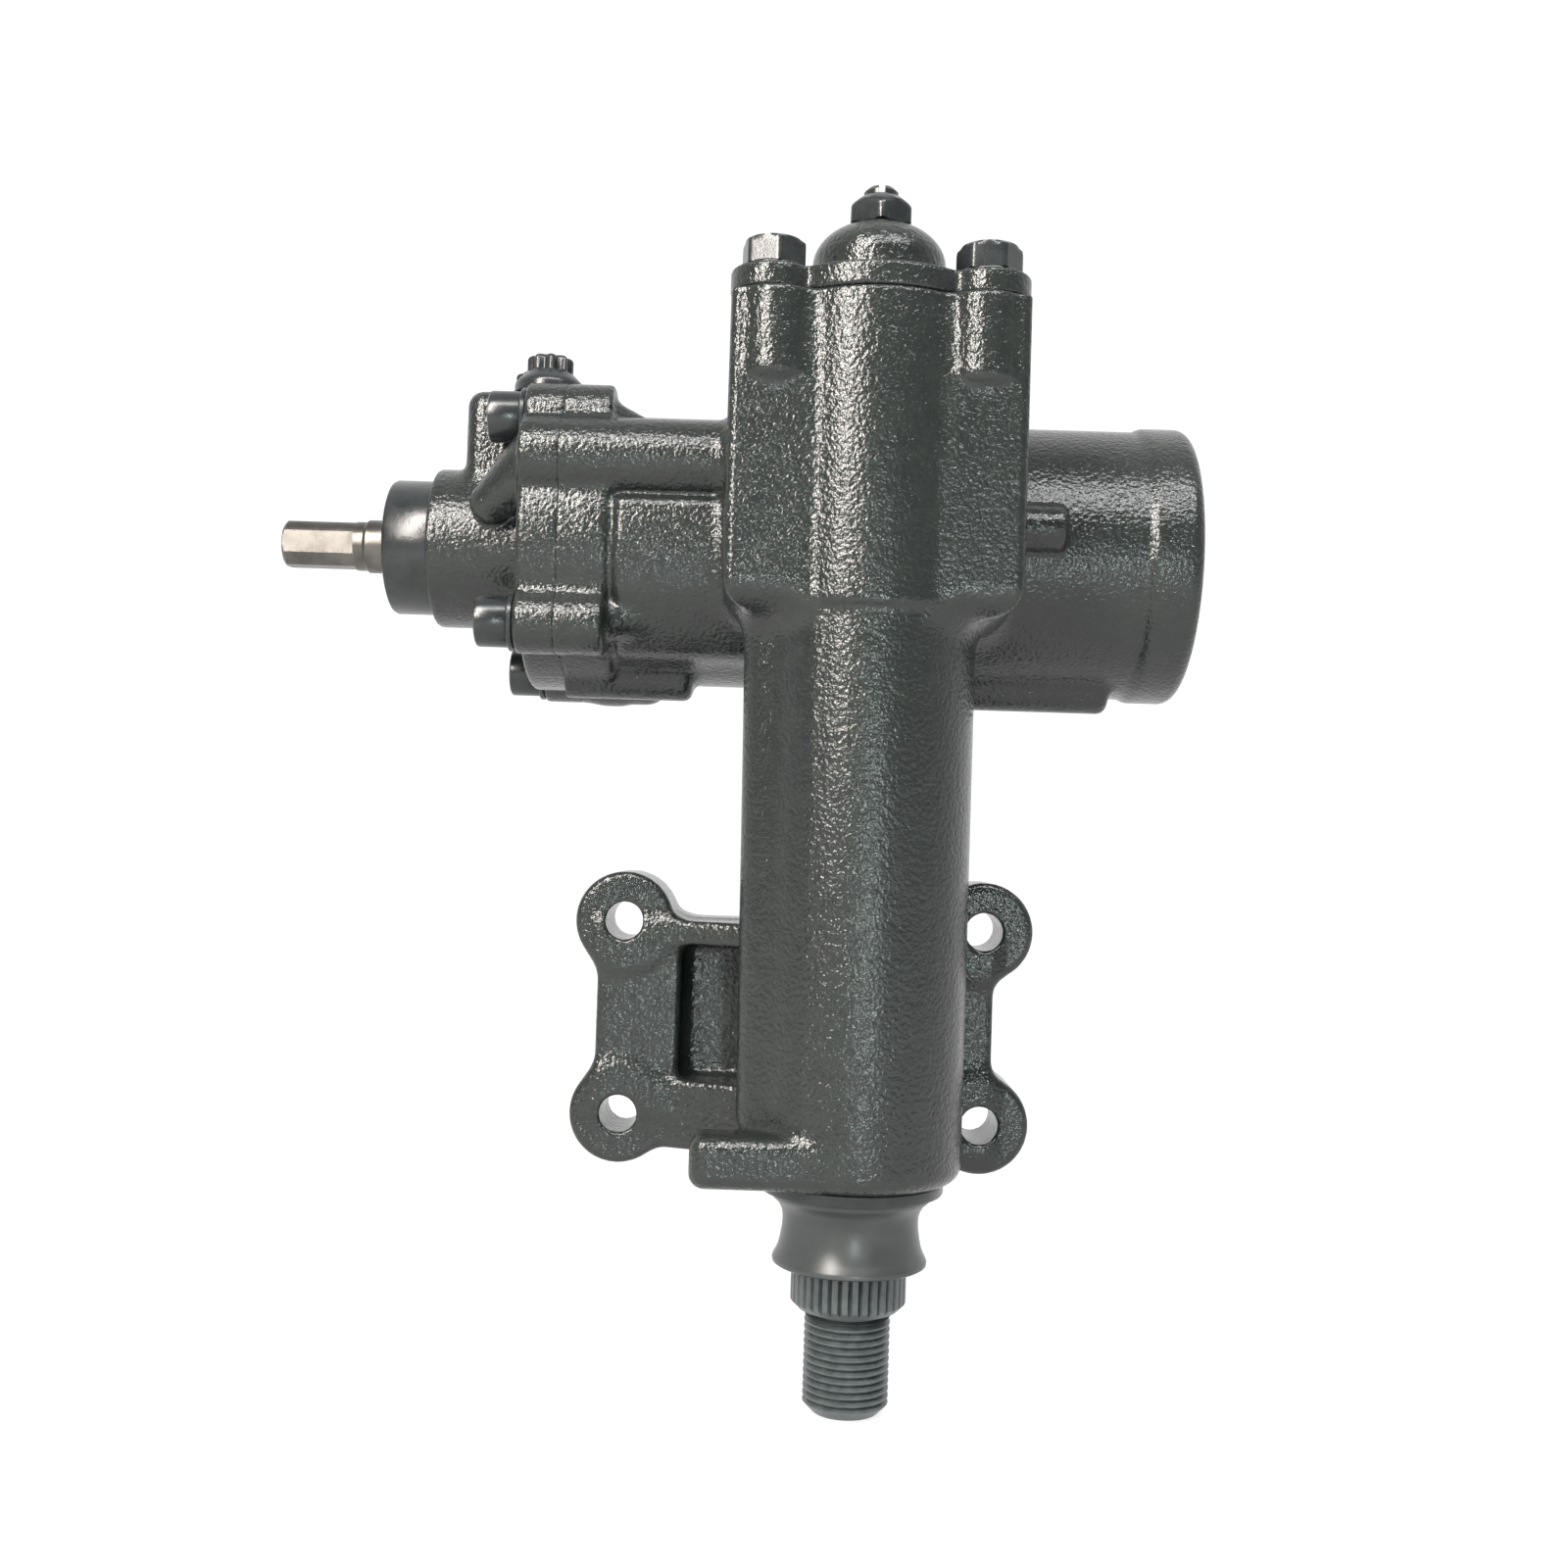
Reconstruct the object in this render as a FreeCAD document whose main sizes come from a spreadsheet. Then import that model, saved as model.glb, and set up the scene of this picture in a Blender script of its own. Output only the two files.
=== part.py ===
"""Integral power steering gearbox: worm, recirculating-ball rack-piston and vertical sector shaft.

Frame: millimetres. Origin at the centre of the four mounting holes, on the rear mounting face.
+X along the worm towards the closed end of the power cylinder, +Y into the vehicle frame that the
gearbox is bolted to, +Z up along the sector shaft, whose splined and threaded end points down.
"""

import FreeCAD, Part
import Sketcher
import math
import os
import re

Vector = FreeCAD.Vector

# ---------------------------------------------------------------- driving dimensions
SIZES = {
    # sector shaft axis and worm axis
    "sector_x": 15.2,
    "sector_y": -45.0,
    "gear_centres": 56.0,
    "worm_height": 141.7,
    # mounting plate
    "mount_pitch_wide": 105.0,
    "mount_pitch_high": 56.0,
    "mount_hole_radius": 5.5,
    "mount_ear_radius": 14.3,
    "mount_ear_thick": 26.5,
    "mount_web_thick": 15.0,
    "mount_strip_wide": 24.5,
    "mount_rib_high": 6.5,
    # sector tower
    "tower_radius": 30.2,
    "tower_bottom": -40.0,
    "box_half_wide": 40.5,
    "box_front": 27.2,
    "box_bottom": 117.3,
    "box_top": 201.0,
    "bulge_radius": 31.5,
    "boss_radius": 12.8,
    "boss_bottom": 181.0,
    "chamber_radius": 33.0,
    "chamber_front_radius": 25.2,
    "chamber_bottom": 120.0,
    "lug_reach": 44.2,
    "lug_front": 28.0,
    "lug_thick": 16.0,
    "lug_top": -25.6,
    # power cylinder
    "cylinder_radius": 43.2,
    "cylinder_bore": 34.0,
    "cylinder_end": 98.4,
    "cylinder_bore_end": 91.5,
    "cylinder_collar": 81.2,
    "cylinder_collar_rise": 0.6,
    "cylinder_round": 5.0,
    "ridge_radius": 12.0,
    "ridge_out": 29.5,
    "ridge_up": 22.5,
    "gallery_radius": 6.0,
    "gallery_hole": 3.0,
    "gallery_end": 76.0,
    # flanged joint of the two housings
    "joint_flange_right": -76.6,
    "joint_face": -90.9,
    "valve_flange_left": -103.0,
    "lobe_radius": 9.4,
    "lobe_circle": 44.9,
    "lobe_first_angle": 37.0,
    "flange_radius": 45.0,
    "spigot_end": -78.2,
    # valve housing
    "neck_radius": 24.8,
    "neck_end": -133.7,
    "valve_bore": 18.6,
    "valve_bore_end": -130.7,
    "port_block_left": -124.2,
    "port_block_right": -91.2,
    "port_block_top": 46.0,
    "port_block_half": 17.0,
    "port_hole": 6.0,
    "port_gap": 20.0,
    "port_front_x": -99.6,
    "port_rear_x": -106.5,
    "plug_head_radius": 6.8,
    "plug_head_high": 12.0,
    "plug_rim_radius": 10.6,
    "plug_rim_high": 1.2,
    "plug_flare_high": 6.0,
    "plug_flute": 1.5,
    # adjusting plug and input shaft
    "ring_radius": 21.0,
    "ring_end": -148.0,
    "input_end": -182.5,
    "input_radius": 7.7,
    "input_collar_radius": 8.35,
    "input_flat": 6.9,
    "input_seal_radius": 12.0,
    "rotor_radius": 10.4,
    "sleeve_outer": 18.4,
    "sleeve_inner": 10.5,
    "torsion_radius": 3.0,
    # worm and balls
    "worm_radius": 12.4,
    "worm_end": 35.0,
    "worm_lead": 10.5,
    "ball_circle": 13.0,
    "ball_radius": 3.5,
    "track_radius": 3.72,
    "nut_centre": -16.0,
    "track_start_turns": 4.5,
    "track_turns": 9.0,
    # worm ball bearing
    "race_left": -89.2,
    "race_right": -78.5,
    "race_inner": 12.0,
    "race_split_inner": 17.0,
    "race_split_outer": 21.6,
    "race_outer": 26.0,
    "race_ball_circle": 19.3,
    "race_ball_radius": 3.6,
    # rack-piston
    "piston_radius": 33.9,
    "piston_left": -45.0,
    "piston_right": 68.0,
    "piston_bore": 13.5,
    "piston_bore_end": 58.0,
    "piston_ring_at": 50.0,
    "return_reach": 24.0,
    "clamp_offset": 6.8,
    "clamp_top": 29.9,
    "tooth_module": 4.5,
    "sector_teeth": 12.0,
    "pressure_angle": 25.0,
    "backlash": 0.3,
    "tooth_face": 34.0,
    "pitch_radius": 27.0,
    # sector shaft
    "journal_radius": 17.5,
    "upper_journal_radius": 12.5,
    "shaft_top": 210.0,
    "shaft_seal_step": -46.0,
    "serration_radius": 16.0,
    "serration_bottom": -73.8,
    "serration_count": 36.0,
    "thread_radius": 11.9,
    "thread_pitch": 2.0,
    "thread_top": -77.8,
    "thread_end": -104.1,
    # sector cover
    "cover_spigot_bottom": 163.0,
    "cover_spigot_radius": 25.0,
    "cover_flange_top": 207.8,
    "dome_radius": 18.9,
    "dome_top": 227.0,
    "cover_bolt_wide": 29.5,
    "cover_bolt_front": -16.5,
    "cover_bolt_rear": 31.0,
    "cover_boss_radius": 11.4,
    "bolt_radius": 5.0,
    "bolt_head_flat": 16.0,
    "bolt_head_high": 8.8,
    "screw_radius": 5.0,
    "screw_top": 238.5,
    "locknut_flat": 17.0,
    "locknut_high": 9.0,
    # foot of the housing
    "foot_ring_radius": 25.5,
    "foot_ring_bottom": -43.8,
    "boot_neck_radius": 18.85,
    "boot_lip_radius": 21.5,
    "boot_neck": -51.5,
    "boot_bottom": -63.7,
    # socket screws of the joint
    "cap_head_radius": 7.7,
    "cap_head_high": 9.6,
    "cap_washer_radius": 8.8,
    "cap_washer_thick": 1.6,
    "cap_screw_radius": 4.5,
}

WORM_Y = "(sector_y + gear_centres)"

doc = FreeCAD.newDocument("SteeringGearbox")
sheet = doc.addObject("Spreadsheet::Sheet", "Sizes")
for row, (alias, number) in enumerate(SIZES.items(), start=1):
    sheet.set(f"A{row}", alias.replace("_", " "))
    sheet.set(f"B{row}", str(number))
    sheet.setAlias(f"B{row}", alias)
doc.recompute()

WORD = re.compile(r"[A-Za-z_]+")
nodes = {}


# ---------------------------------------------------------------- helpers
def bound(formula):
    """The formula with each size's name pointing at its cell in the sheet."""
    return WORD.sub(lambda w: "Sizes." + w.group() if w.group() in SIZES else w.group(), str(formula))


def number(formula):
    """The formula's value now, from the sheet."""
    return float(sheet.evalExpression(bound(formula)))


def place(thing, at=("0", "0", "0"), turn=None):
    """Puts a thing at a bound position, after an optional fixed rotation."""
    if turn is not None:
        thing.Placement = FreeCAD.Placement(Vector(), turn)
    for letter, formula in zip("xyz", at):
        thing.setExpression(".Placement.Base." + letter, bound(formula))
    return thing


def along(direction):
    """The rotation that takes +Z to a direction."""
    return FreeCAD.Rotation(Vector(0, 0, 1), Vector(*direction))


def cylinder(radius, length, at, direction=(0, 0, 1)):
    thing = doc.addObject("Part::Cylinder", "Cylinder")
    thing.setExpression("Radius", bound(radius))
    thing.setExpression("Height", bound(length))
    return place(thing, at, along(direction))


def cone(radius_first, radius_last, length, at, direction=(0, 0, 1)):
    thing = doc.addObject("Part::Cone", "Cone")
    thing.setExpression("Radius1", bound(radius_first))
    thing.setExpression("Radius2", bound(radius_last))
    thing.setExpression("Height", bound(length))
    return place(thing, at, along(direction))


def block(low, high):
    """A box from its low corner to its high corner, both as formulas."""
    thing = doc.addObject("Part::Box", "Box")
    for side, first, last in zip(("Length", "Width", "Height"), low, high):
        thing.setExpression(side, bound(f"({last}) - ({first})"))
    return place(thing, low)


def ball(radius, at):
    thing = doc.addObject("Part::Sphere", "Ball")
    thing.setExpression("Radius", bound(radius))
    return place(thing, at)


def ring(major, minor, at, direction=(0, 0, 1)):
    thing = doc.addObject("Part::Torus", "Ring")
    thing.setExpression("Radius1", bound(major))
    thing.setExpression("Radius2", bound(minor))
    return place(thing, at, along(direction))


def hexagon(across_flats, length, at, direction=(0, 0, 1), spin=0.0):
    thing = doc.addObject("Part::Prism", "Hexagon")
    thing.Polygon = 6
    thing.setExpression("Circumradius", bound(f"({across_flats}) / sqrt(3)"))
    thing.setExpression("Height", bound(length))
    turn = along(direction).multiply(FreeCAD.Rotation(Vector(0, 0, 1), spin))
    return place(thing, at, turn)


def fuse(*things):
    if len(things) == 1:
        return things[0]
    thing = doc.addObject("Part::MultiFuse", "Fuse")
    thing.Shapes = list(things)
    return thing


def cut(base, *tools):
    thing = doc.addObject("Part::Cut", "Cut")
    thing.Base = base
    thing.Tool = fuse(*tools)
    return thing


def common(*things):
    thing = doc.addObject("Part::MultiCommon", "Common")
    thing.Shapes = list(things)
    return thing


def group(*things):
    thing = doc.addObject("Part::Compound", "Group")
    thing.Links = list(things)
    return thing


def finish_node(name, thing):
    thing.Label = name
    nodes[name] = thing
    return thing


def turned(outline, about="Z"):
    """A turned solid: the outline's (radius, position) pairs go round the sector or the worm axis.

    About Z the position is a height; about X it is the distance from the sector axis along +X.
    """
    body = doc.addObject("PartDesign::Body", "Turned")
    sketch = body.newObject("Sketcher::SketchObject", body.Name + "Outline")
    plane = [f for f in body.Origin.OriginFeatures if f.Role == "XZ_Plane"][0]
    sketch.AttachmentSupport = [(plane, "")]
    sketch.MapMode = "FlatFace"
    pairs = [(r, p) if about == "Z" else (p, r) for r, p in outline]
    corners = [Vector(number(a), number(b), 0) for a, b in pairs]
    count = len(corners)
    sketch.addGeometry([Part.LineSegment(corners[i], corners[(i + 1) % count]) for i in range(count)])
    for i in range(count):
        sketch.addConstraint(Sketcher.Constraint("Coincident", i, 2, (i + 1) % count, 1))
    for i, (a, b) in enumerate(pairs):
        for kind, formula, size in (("DistanceX", a, corners[i].x), ("DistanceY", b, corners[i].y)):
            index = sketch.addConstraint(Sketcher.Constraint(kind, -1, 1, i, 1, size))
            sketch.setExpression(f"Constraints[{index}]", bound(formula))
    solid = body.newObject("PartDesign::Revolution", body.Name + "Turn")
    solid.Profile = sketch
    solid.ReferenceAxis = (sketch, ["V_Axis" if about == "Z" else "H_Axis"])
    solid.Angle = 360.0
    body.Tip = solid
    if about == "Z":
        return place(body, ("sector_x", "sector_y", "0"))
    return place(body, ("sector_x", WORM_Y, "worm_height"))


def tube(inner, outer, first, last, about="Z"):
    """A plain tube between two positions."""
    return turned([(inner, first), (outer, first), (outer, last), (inner, last)], about)


def rod(radius, first, last, about="Z"):
    return turned([("0", first), (radius, first), (radius, last), ("0", last)], about)


def worm_point(along_x="0", out_y="0", out_z="0"):
    """A bound position given from the point where the worm axis passes the sector axis."""
    return (f"sector_x + ({along_x})", f"{WORM_Y} + ({out_y})", f"worm_height + ({out_z})")


def sector_point(out_x="0", out_y="0", height="0"):
    return (f"sector_x + ({out_x})", f"sector_y + ({out_y})", height)


def joint_angles():
    """The four lobes of the housing joint, as angles from +Y towards +Z about the worm axis."""
    return [number("lobe_first_angle") + 90.0 * k for k in range(4)]


def lobe_offset(angle, radius="lobe_circle"):
    return (
        f"({radius}) * {math.cos(math.radians(angle)):.6f}",
        f"({radius}) * {math.sin(math.radians(angle)):.6f}",
    )


def lobed_flange(first, last):
    """A round flange with four lobes for the joint screws, each on a tapering web."""
    length = f"({last}) - ({first})"
    pieces = [cylinder("flange_radius", length, worm_point(first), (1, 0, 0))]
    for angle in joint_angles():
        out_y, out_z = lobe_offset(angle)
        pieces.append(cylinder("lobe_radius", length, worm_point(first, out_y, out_z), (1, 0, 0)))
        web = doc.addObject("Part::Box", "Web")
        web.setExpression("Length", bound(length))
        web.setExpression("Width", bound("lobe_circle"))
        web.setExpression("Height", bound("2 * lobe_radius"))
        turn = FreeCAD.Rotation(Vector(1, 0, 0), angle)
        shift_y, shift_z = (
            f"lobe_radius * {math.sin(math.radians(angle)):.6f}",
            f"-lobe_radius * {math.cos(math.radians(angle)):.6f}",
        )
        pieces.append(place(web, worm_point(first, shift_y, shift_z), turn))
    return fuse(*pieces)


def lobe_holes(radius, first, last):
    holes = []
    for angle in joint_angles():
        out_y, out_z = lobe_offset(angle)
        holes.append(
            cylinder(radius, f"({last}) - ({first})", worm_point(first, out_y, out_z), (1, 0, 0))
        )
    return holes


def cover_bolt_places():
    rows = ("cover_bolt_front", "cover_bolt_rear")
    return [(f"{side} * cover_bolt_wide", row) for side in (-1, 1) for row in rows]


def port_places():
    """The front and rear port, which are staggered along the worm axis."""
    return [("port_front_x", "-port_gap / 2"), ("port_rear_x", "port_gap / 2")]


def ear_places():
    return [
        (f"{side} * mount_pitch_wide / 2", f"{level} * mount_pitch_high / 2")
        for side in (-1, 1)
        for level in (-1, 1)
    ]


# ---------------------------------------------------------------- castings
def sector_tower():
    """The upright tower: round foot, square sector chamber and its round front bulge."""
    foot = cylinder("tower_radius", "box_top - tower_bottom - 4", sector_point(height="tower_bottom"))
    box = block(
        sector_point("-box_half_wide", "-box_front", "box_bottom"),
        sector_point("box_half_wide", "gear_centres - 6", "box_top"),
    )
    bulge = cylinder("bulge_radius", "box_top - box_bottom + 1", sector_point(height="box_bottom - 1"))
    slope = common(
        cone("tower_radius", "tower_radius + 20", "20", sector_point(height="box_bottom - 14")),
        block(
            sector_point("-box_half_wide", "-box_front", "box_bottom - 14"),
            sector_point("box_half_wide", "gear_centres - 6", "box_bottom + 5"),
        ),
    )
    pieces = [foot, box, bulge, slope]
    for out_x, out_y in cover_bolt_places():
        foot = sector_point(out_x, out_y, "boss_bottom")
        pieces.append(cylinder("boss_radius", "box_top - boss_bottom", foot))
        pieces.append(
            cone("boss_radius - 5", "boss_radius", "14", sector_point(out_x, out_y, "boss_bottom - 14"))
        )
    return pieces


def power_cylinder():
    """The horizontal cylinder behind the tower, its end collar, gallery rail and joint flange."""
    barrel = turned(
        [
            ("0", "joint_flange_right - 4"),
            ("cylinder_radius", "joint_flange_right - 4"),
            ("cylinder_radius", "cylinder_collar"),
            ("cylinder_radius + cylinder_collar_rise", "cylinder_collar"),
            ("cylinder_radius + cylinder_collar_rise", "cylinder_end - cylinder_round"),
            ("cylinder_radius - 0.3 * cylinder_round", "cylinder_end - 0.3 * cylinder_round"),
            ("cylinder_radius - cylinder_round", "cylinder_end"),
            ("0", "cylinder_end"),
        ],
        "X",
    )
    rail = cylinder(
        "gallery_radius",
        "gallery_end - joint_face",
        worm_point("joint_face", "-8", "-cylinder_radius + 1.5"),
        (1, 0, 0),
    )
    shoulder = fuse(
        block(
            worm_point("joint_flange_right - 1", "-ridge_out", "ridge_up - ridge_radius"),
            worm_point("-box_half_wide + 1", "0", "ridge_up"),
        ),
        cylinder(
            "ridge_radius",
            "-box_half_wide + 1 - joint_face",
            worm_point("joint_face", "-ridge_out", "ridge_up"),
            (1, 0, 0),
        ),
    )
    panel = block(
        worm_point("joint_flange_right + 1", "-cylinder_radius - 0.4", "-25"),
        worm_point("-box_half_wide + 1", "0", "9"),
    )
    stub = block(
        worm_point("box_half_wide - 1", "-cylinder_radius - 2.5", "-7"),
        worm_point("box_half_wide + 10.5", "0", "8.5"),
    )
    return [barrel, rail, shoulder, panel, stub, lobed_flange("joint_face", "joint_flange_right")]


def mounting_plate():
    """The four-hole plate on the back of the tower, with its ribs and the pocket between them."""
    pieces = [
        block(
            ("-mount_pitch_wide / 2 - 8.5", "-mount_web_thick", "-mount_pitch_high / 2"),
            ("mount_pitch_wide / 2 + 2.5", "0", "mount_pitch_high / 2"),
        ),
        block(
            ("-mount_pitch_wide / 2 + 4", "-mount_ear_thick", "-mount_pitch_high / 2 - 9.5"),
            ("sector_x", "0", "-mount_pitch_high / 2 + 11"),
        ),
        block(
            ("-mount_pitch_wide / 2 + 4", "-mount_ear_thick", "mount_pitch_high / 2 - 6.2"),
            ("sector_x", "0", "mount_pitch_high / 2 - 6.2 + mount_rib_high"),
        ),
        block(
            ("-mount_pitch_wide / 2 - 8.5", "-mount_ear_thick", "-mount_pitch_high / 2"),
            ("-mount_pitch_wide / 2 - 8.5 + mount_strip_wide", "0", "mount_pitch_high / 2"),
        ),
        block(
            ("sector_x", "-mount_ear_thick", "-mount_pitch_high / 2 - 7"),
            ("mount_pitch_wide / 2 - 6", "0", "mount_pitch_high / 2 + 7"),
        ),
    ]
    for across, level in ear_places():
        pieces.append(cylinder("mount_ear_radius", "mount_ear_thick", (across, "0", level), (0, -1, 0)))
    return pieces


def stop_lug():
    """The flat-faced lug at the foot, flush with the bottom of the tower."""
    return block(
        sector_point("-lug_reach", "-lug_front", "tower_bottom"),
        sector_point("0", "-lug_front + lug_thick", "lug_top"),
    )


def gear_housing():
    outside = fuse(*sector_tower(), *power_cylinder(), *mounting_plate(), stop_lug())
    chamber = common(
        cylinder("chamber_radius", "box_top - chamber_bottom + 1", sector_point(height="chamber_bottom")),
        block(
            sector_point("-chamber_radius", "-8", "chamber_bottom"),
            sector_point("chamber_radius", "chamber_radius + 1", "box_top + 1"),
        ),
    )
    front_chamber = cylinder(
        "chamber_front_radius", "box_top - chamber_bottom + 1", sector_point(height="chamber_bottom")
    )
    bore = cylinder(
        "cylinder_bore", "cylinder_bore_end - joint_face + 1", worm_point("joint_face - 1"), (1, 0, 0)
    )
    shaft_bore = turned(
        [
            ("0", "tower_bottom - 1"),
            ("23.5", "tower_bottom - 1"),
            ("23.5", "tower_bottom + 12"),
            ("21.5", "tower_bottom + 12"),
            ("21.5", "tower_bottom + 38"),
            ("18.3", "tower_bottom + 38"),
            ("18.3", "box_bottom - 24"),
            ("21.5", "box_bottom - 24"),
            ("21.5", "chamber_bottom + 1"),
            ("0", "chamber_bottom + 1"),
        ]
    )
    holes = [
        cylinder("mount_hole_radius", "mount_ear_thick + 12", (across, "4", level), (0, -1, 0))
        for across, level in ear_places()
    ]
    holes += [
        cylinder("bolt_radius", "26", sector_point(out_x, out_y, "box_top - 25"))
        for out_x, out_y in cover_bolt_places()
    ]
    holes += lobe_holes("cap_screw_radius", "joint_face - 1", "joint_flange_right - 1")
    gallery = cylinder(
        "gallery_hole",
        "gallery_end - joint_face + 1",
        worm_point("joint_face - 1", "-8", "-cylinder_radius + 1.5"),
        (1, 0, 0),
    )
    feed = cylinder(
        "gallery_hole", "12", worm_point("gallery_end - 6", "-8", "-cylinder_radius"), (0, 0, 1)
    )
    finish_node(
        "gear_housing", cut(outside, chamber, front_chamber, bore, shaft_bore, gallery, feed, *holes)
    )


def valve_housing():
    neck = turned(
        [
            ("0", "neck_end"),
            ("neck_radius - 1", "neck_end"),
            ("neck_radius", "neck_end + 1"),
            ("neck_radius", "valve_flange_left - 5"),
            ("neck_radius + 5", "valve_flange_left + 1"),
            ("0", "valve_flange_left + 1"),
        ],
        "X",
    )
    spigot = cylinder("piston_radius", "spigot_end - joint_face + 1", worm_point("joint_face - 1"), (1, 0, 0))
    port_block = block(
        worm_point("port_block_left", "-port_block_half", "0"),
        worm_point("port_block_right", "port_block_half", "port_block_top"),
    )
    gusset = common(
        block(
            worm_point("valve_flange_left - 16", "-neck_radius - 12", "-4"),
            worm_point("valve_flange_left + 1", "-neck_radius + 12", "24"),
        ),
        cone("neck_radius - 2", "neck_radius + 16", "18", worm_point("valve_flange_left - 17"), (1, 0, 0)),
    )
    ridge = cylinder(
        "ridge_radius",
        "joint_face - valve_flange_left",
        worm_point("valve_flange_left", "-ridge_out", "ridge_up"),
        (1, 0, 0),
    )
    outside = fuse(
        neck, spigot, port_block, gusset, ridge, lobed_flange("valve_flange_left", "joint_face")
    )
    inside = turned(
        [
            ("0", "neck_end - 1"),
            ("20.05", "neck_end - 1"),
            ("20.05", "valve_bore_end"),
            ("valve_bore", "valve_bore_end"),
            ("valve_bore", "race_left - 11"),
            ("20.5", "race_left - 11"),
            ("20.5", "race_left"),
            ("race_outer", "race_left"),
            ("race_outer", "spigot_end + 1"),
            ("0", "spigot_end + 1"),
        ],
        "X",
    )
    ports = []
    for port_x, out_y in port_places():
        ports.append(cylinder("port_hole", "24", worm_point(port_x, out_y, "port_block_top - 23")))
        ports.append(cylinder("port_hole / 2", "port_block_top", worm_point(port_x, out_y, "8")))
    seal_groove = cut(
        cylinder("piston_radius + 1", "3", worm_point("joint_face + 4"), (1, 0, 0)),
        cylinder("piston_radius - 2.4", "3", worm_point("joint_face + 4"), (1, 0, 0)),
    )
    clear_holes = lobe_holes("cap_screw_radius + 0.5", "valve_flange_left - 1", "joint_face + 0.01")
    finish_node("valve_housing", cut(outside, inside, seal_groove, *ports, *clear_holes))


def cover_plan(low, high, boss):
    """The cover's outline between two heights: a round middle, four bosses and webs to them."""
    length = f"({high}) - ({low})"
    pieces = [
        cylinder("bulge_radius", length, sector_point(height=low)),
        block(
            sector_point("-box_half_wide + 5", "cover_bolt_front - 6", low),
            sector_point("box_half_wide - 5", "cover_bolt_rear + 6", high),
        ),
        block(
            sector_point("-box_half_wide", "cover_bolt_front", low),
            sector_point("box_half_wide", "cover_bolt_rear", high),
        ),
        block(
            sector_point("-cover_bolt_wide", "0", low),
            sector_point("cover_bolt_wide", "cover_bolt_rear + 10", high),
        ),
    ]
    pieces += [cylinder(boss, length, sector_point(x, y, low)) for x, y in cover_bolt_places()]
    return fuse(*pieces)


def sector_cover():
    plate = cover_plan("box_top", "cover_flange_top", "cover_boss_radius")
    dome = turned(
        [
            ("0", "cover_spigot_bottom"),
            ("cover_spigot_radius", "cover_spigot_bottom"),
            ("cover_spigot_radius", "box_top + 1"),
            ("dome_radius + 3", "cover_flange_top - 1"),
            ("dome_radius", "cover_flange_top + 2"),
            ("dome_radius", "dome_top - 11"),
            ("dome_radius - 1", "dome_top - 7"),
            ("dome_radius - 3.2", "dome_top - 3.9"),
            ("dome_radius - 7.3", "dome_top - 1.2"),
            ("dome_radius - 10.4", "dome_top"),
            ("0", "dome_top"),
        ]
    )
    inside = turned(
        [
            ("0", "cover_spigot_bottom - 1"),
            ("16", "cover_spigot_bottom - 1"),
            ("16", "shaft_top - 8"),
            ("13.4", "shaft_top - 8"),
            ("13.4", "shaft_top + 2"),
            ("screw_radius", "shaft_top + 2"),
            ("screw_radius", "dome_top + 1"),
            ("0", "dome_top + 1"),
        ]
    )
    seal_groove = tube("22.6", "26", "box_top - 6", "box_top - 3")
    holes = [
        cylinder("bolt_radius + 0.5", "12", sector_point(x, y, "box_top - 1")) for x, y in cover_bolt_places()
    ]
    finish_node("sector_cover", cut(fuse(plate, dome), inside, seal_groove, *holes))
    finish_node("sector_cover_seal", tube("22.65", "25.15", "box_top - 5.9", "box_top - 3.1"))


# ---------------------------------------------------------------- fasteners
def cover_bolts():
    bolts = []
    for x, y in cover_bolt_places():
        seat = cylinder("bolt_head_flat / 2 + 0.6", "1.4", sector_point(x, y, "cover_flange_top"))
        crown = common(
            hexagon(
                "bolt_head_flat",
                "bolt_head_high - 1.3",
                sector_point(x, y, "cover_flange_top + 1.3"),
                spin=42,
            ),
            cone(
                "bolt_head_flat / 2 + 3",
                "bolt_head_flat / 2 - 0.6",
                "bolt_head_high + 0.1",
                sector_point(x, y, "cover_flange_top"),
            ),
        )
        shank = cylinder("bolt_radius - 0.05", "30", sector_point(x, y, "cover_flange_top - 30"))
        bolts.append(fuse(seat, crown, shank))
    finish_node("sector_cover_bolts", group(*bolts))


def joint_screws():
    screws, washers = [], []
    for angle in joint_angles():
        out_y, out_z = lobe_offset(angle)
        seat = "valve_flange_left - cap_washer_thick"
        head = cylinder(
            "cap_head_radius", "cap_head_high", worm_point(seat, out_y, out_z), (-1, 0, 0)
        )
        shank = cylinder(
            "cap_screw_radius - 0.05", "27", worm_point(seat + " - 1", out_y, out_z), (1, 0, 0)
        )
        socket = hexagon(
            "8", "5", worm_point(seat + " - cap_head_high + 4.5", out_y, out_z), (-1, 0, 0), 30
        )
        screws.append(cut(fuse(head, shank), socket))
        washers.append(
            cut(
                cylinder(
                    "cap_washer_radius", "cap_washer_thick", worm_point(seat, out_y, out_z), (1, 0, 0)
                ),
                cylinder("cap_screw_radius + 0.2", "4", worm_point(seat + " - 1", out_y, out_z), (1, 0, 0)),
            )
        )
    finish_node("valve_housing_screws", group(*screws))
    finish_node("valve_housing_washers", group(*washers))
    finish_node(
        "valve_housing_seal",
        tube("piston_radius - 2.35", "piston_radius + 0.05", "joint_face + 4.2", "joint_face + 6.8", "X"),
    )


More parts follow.
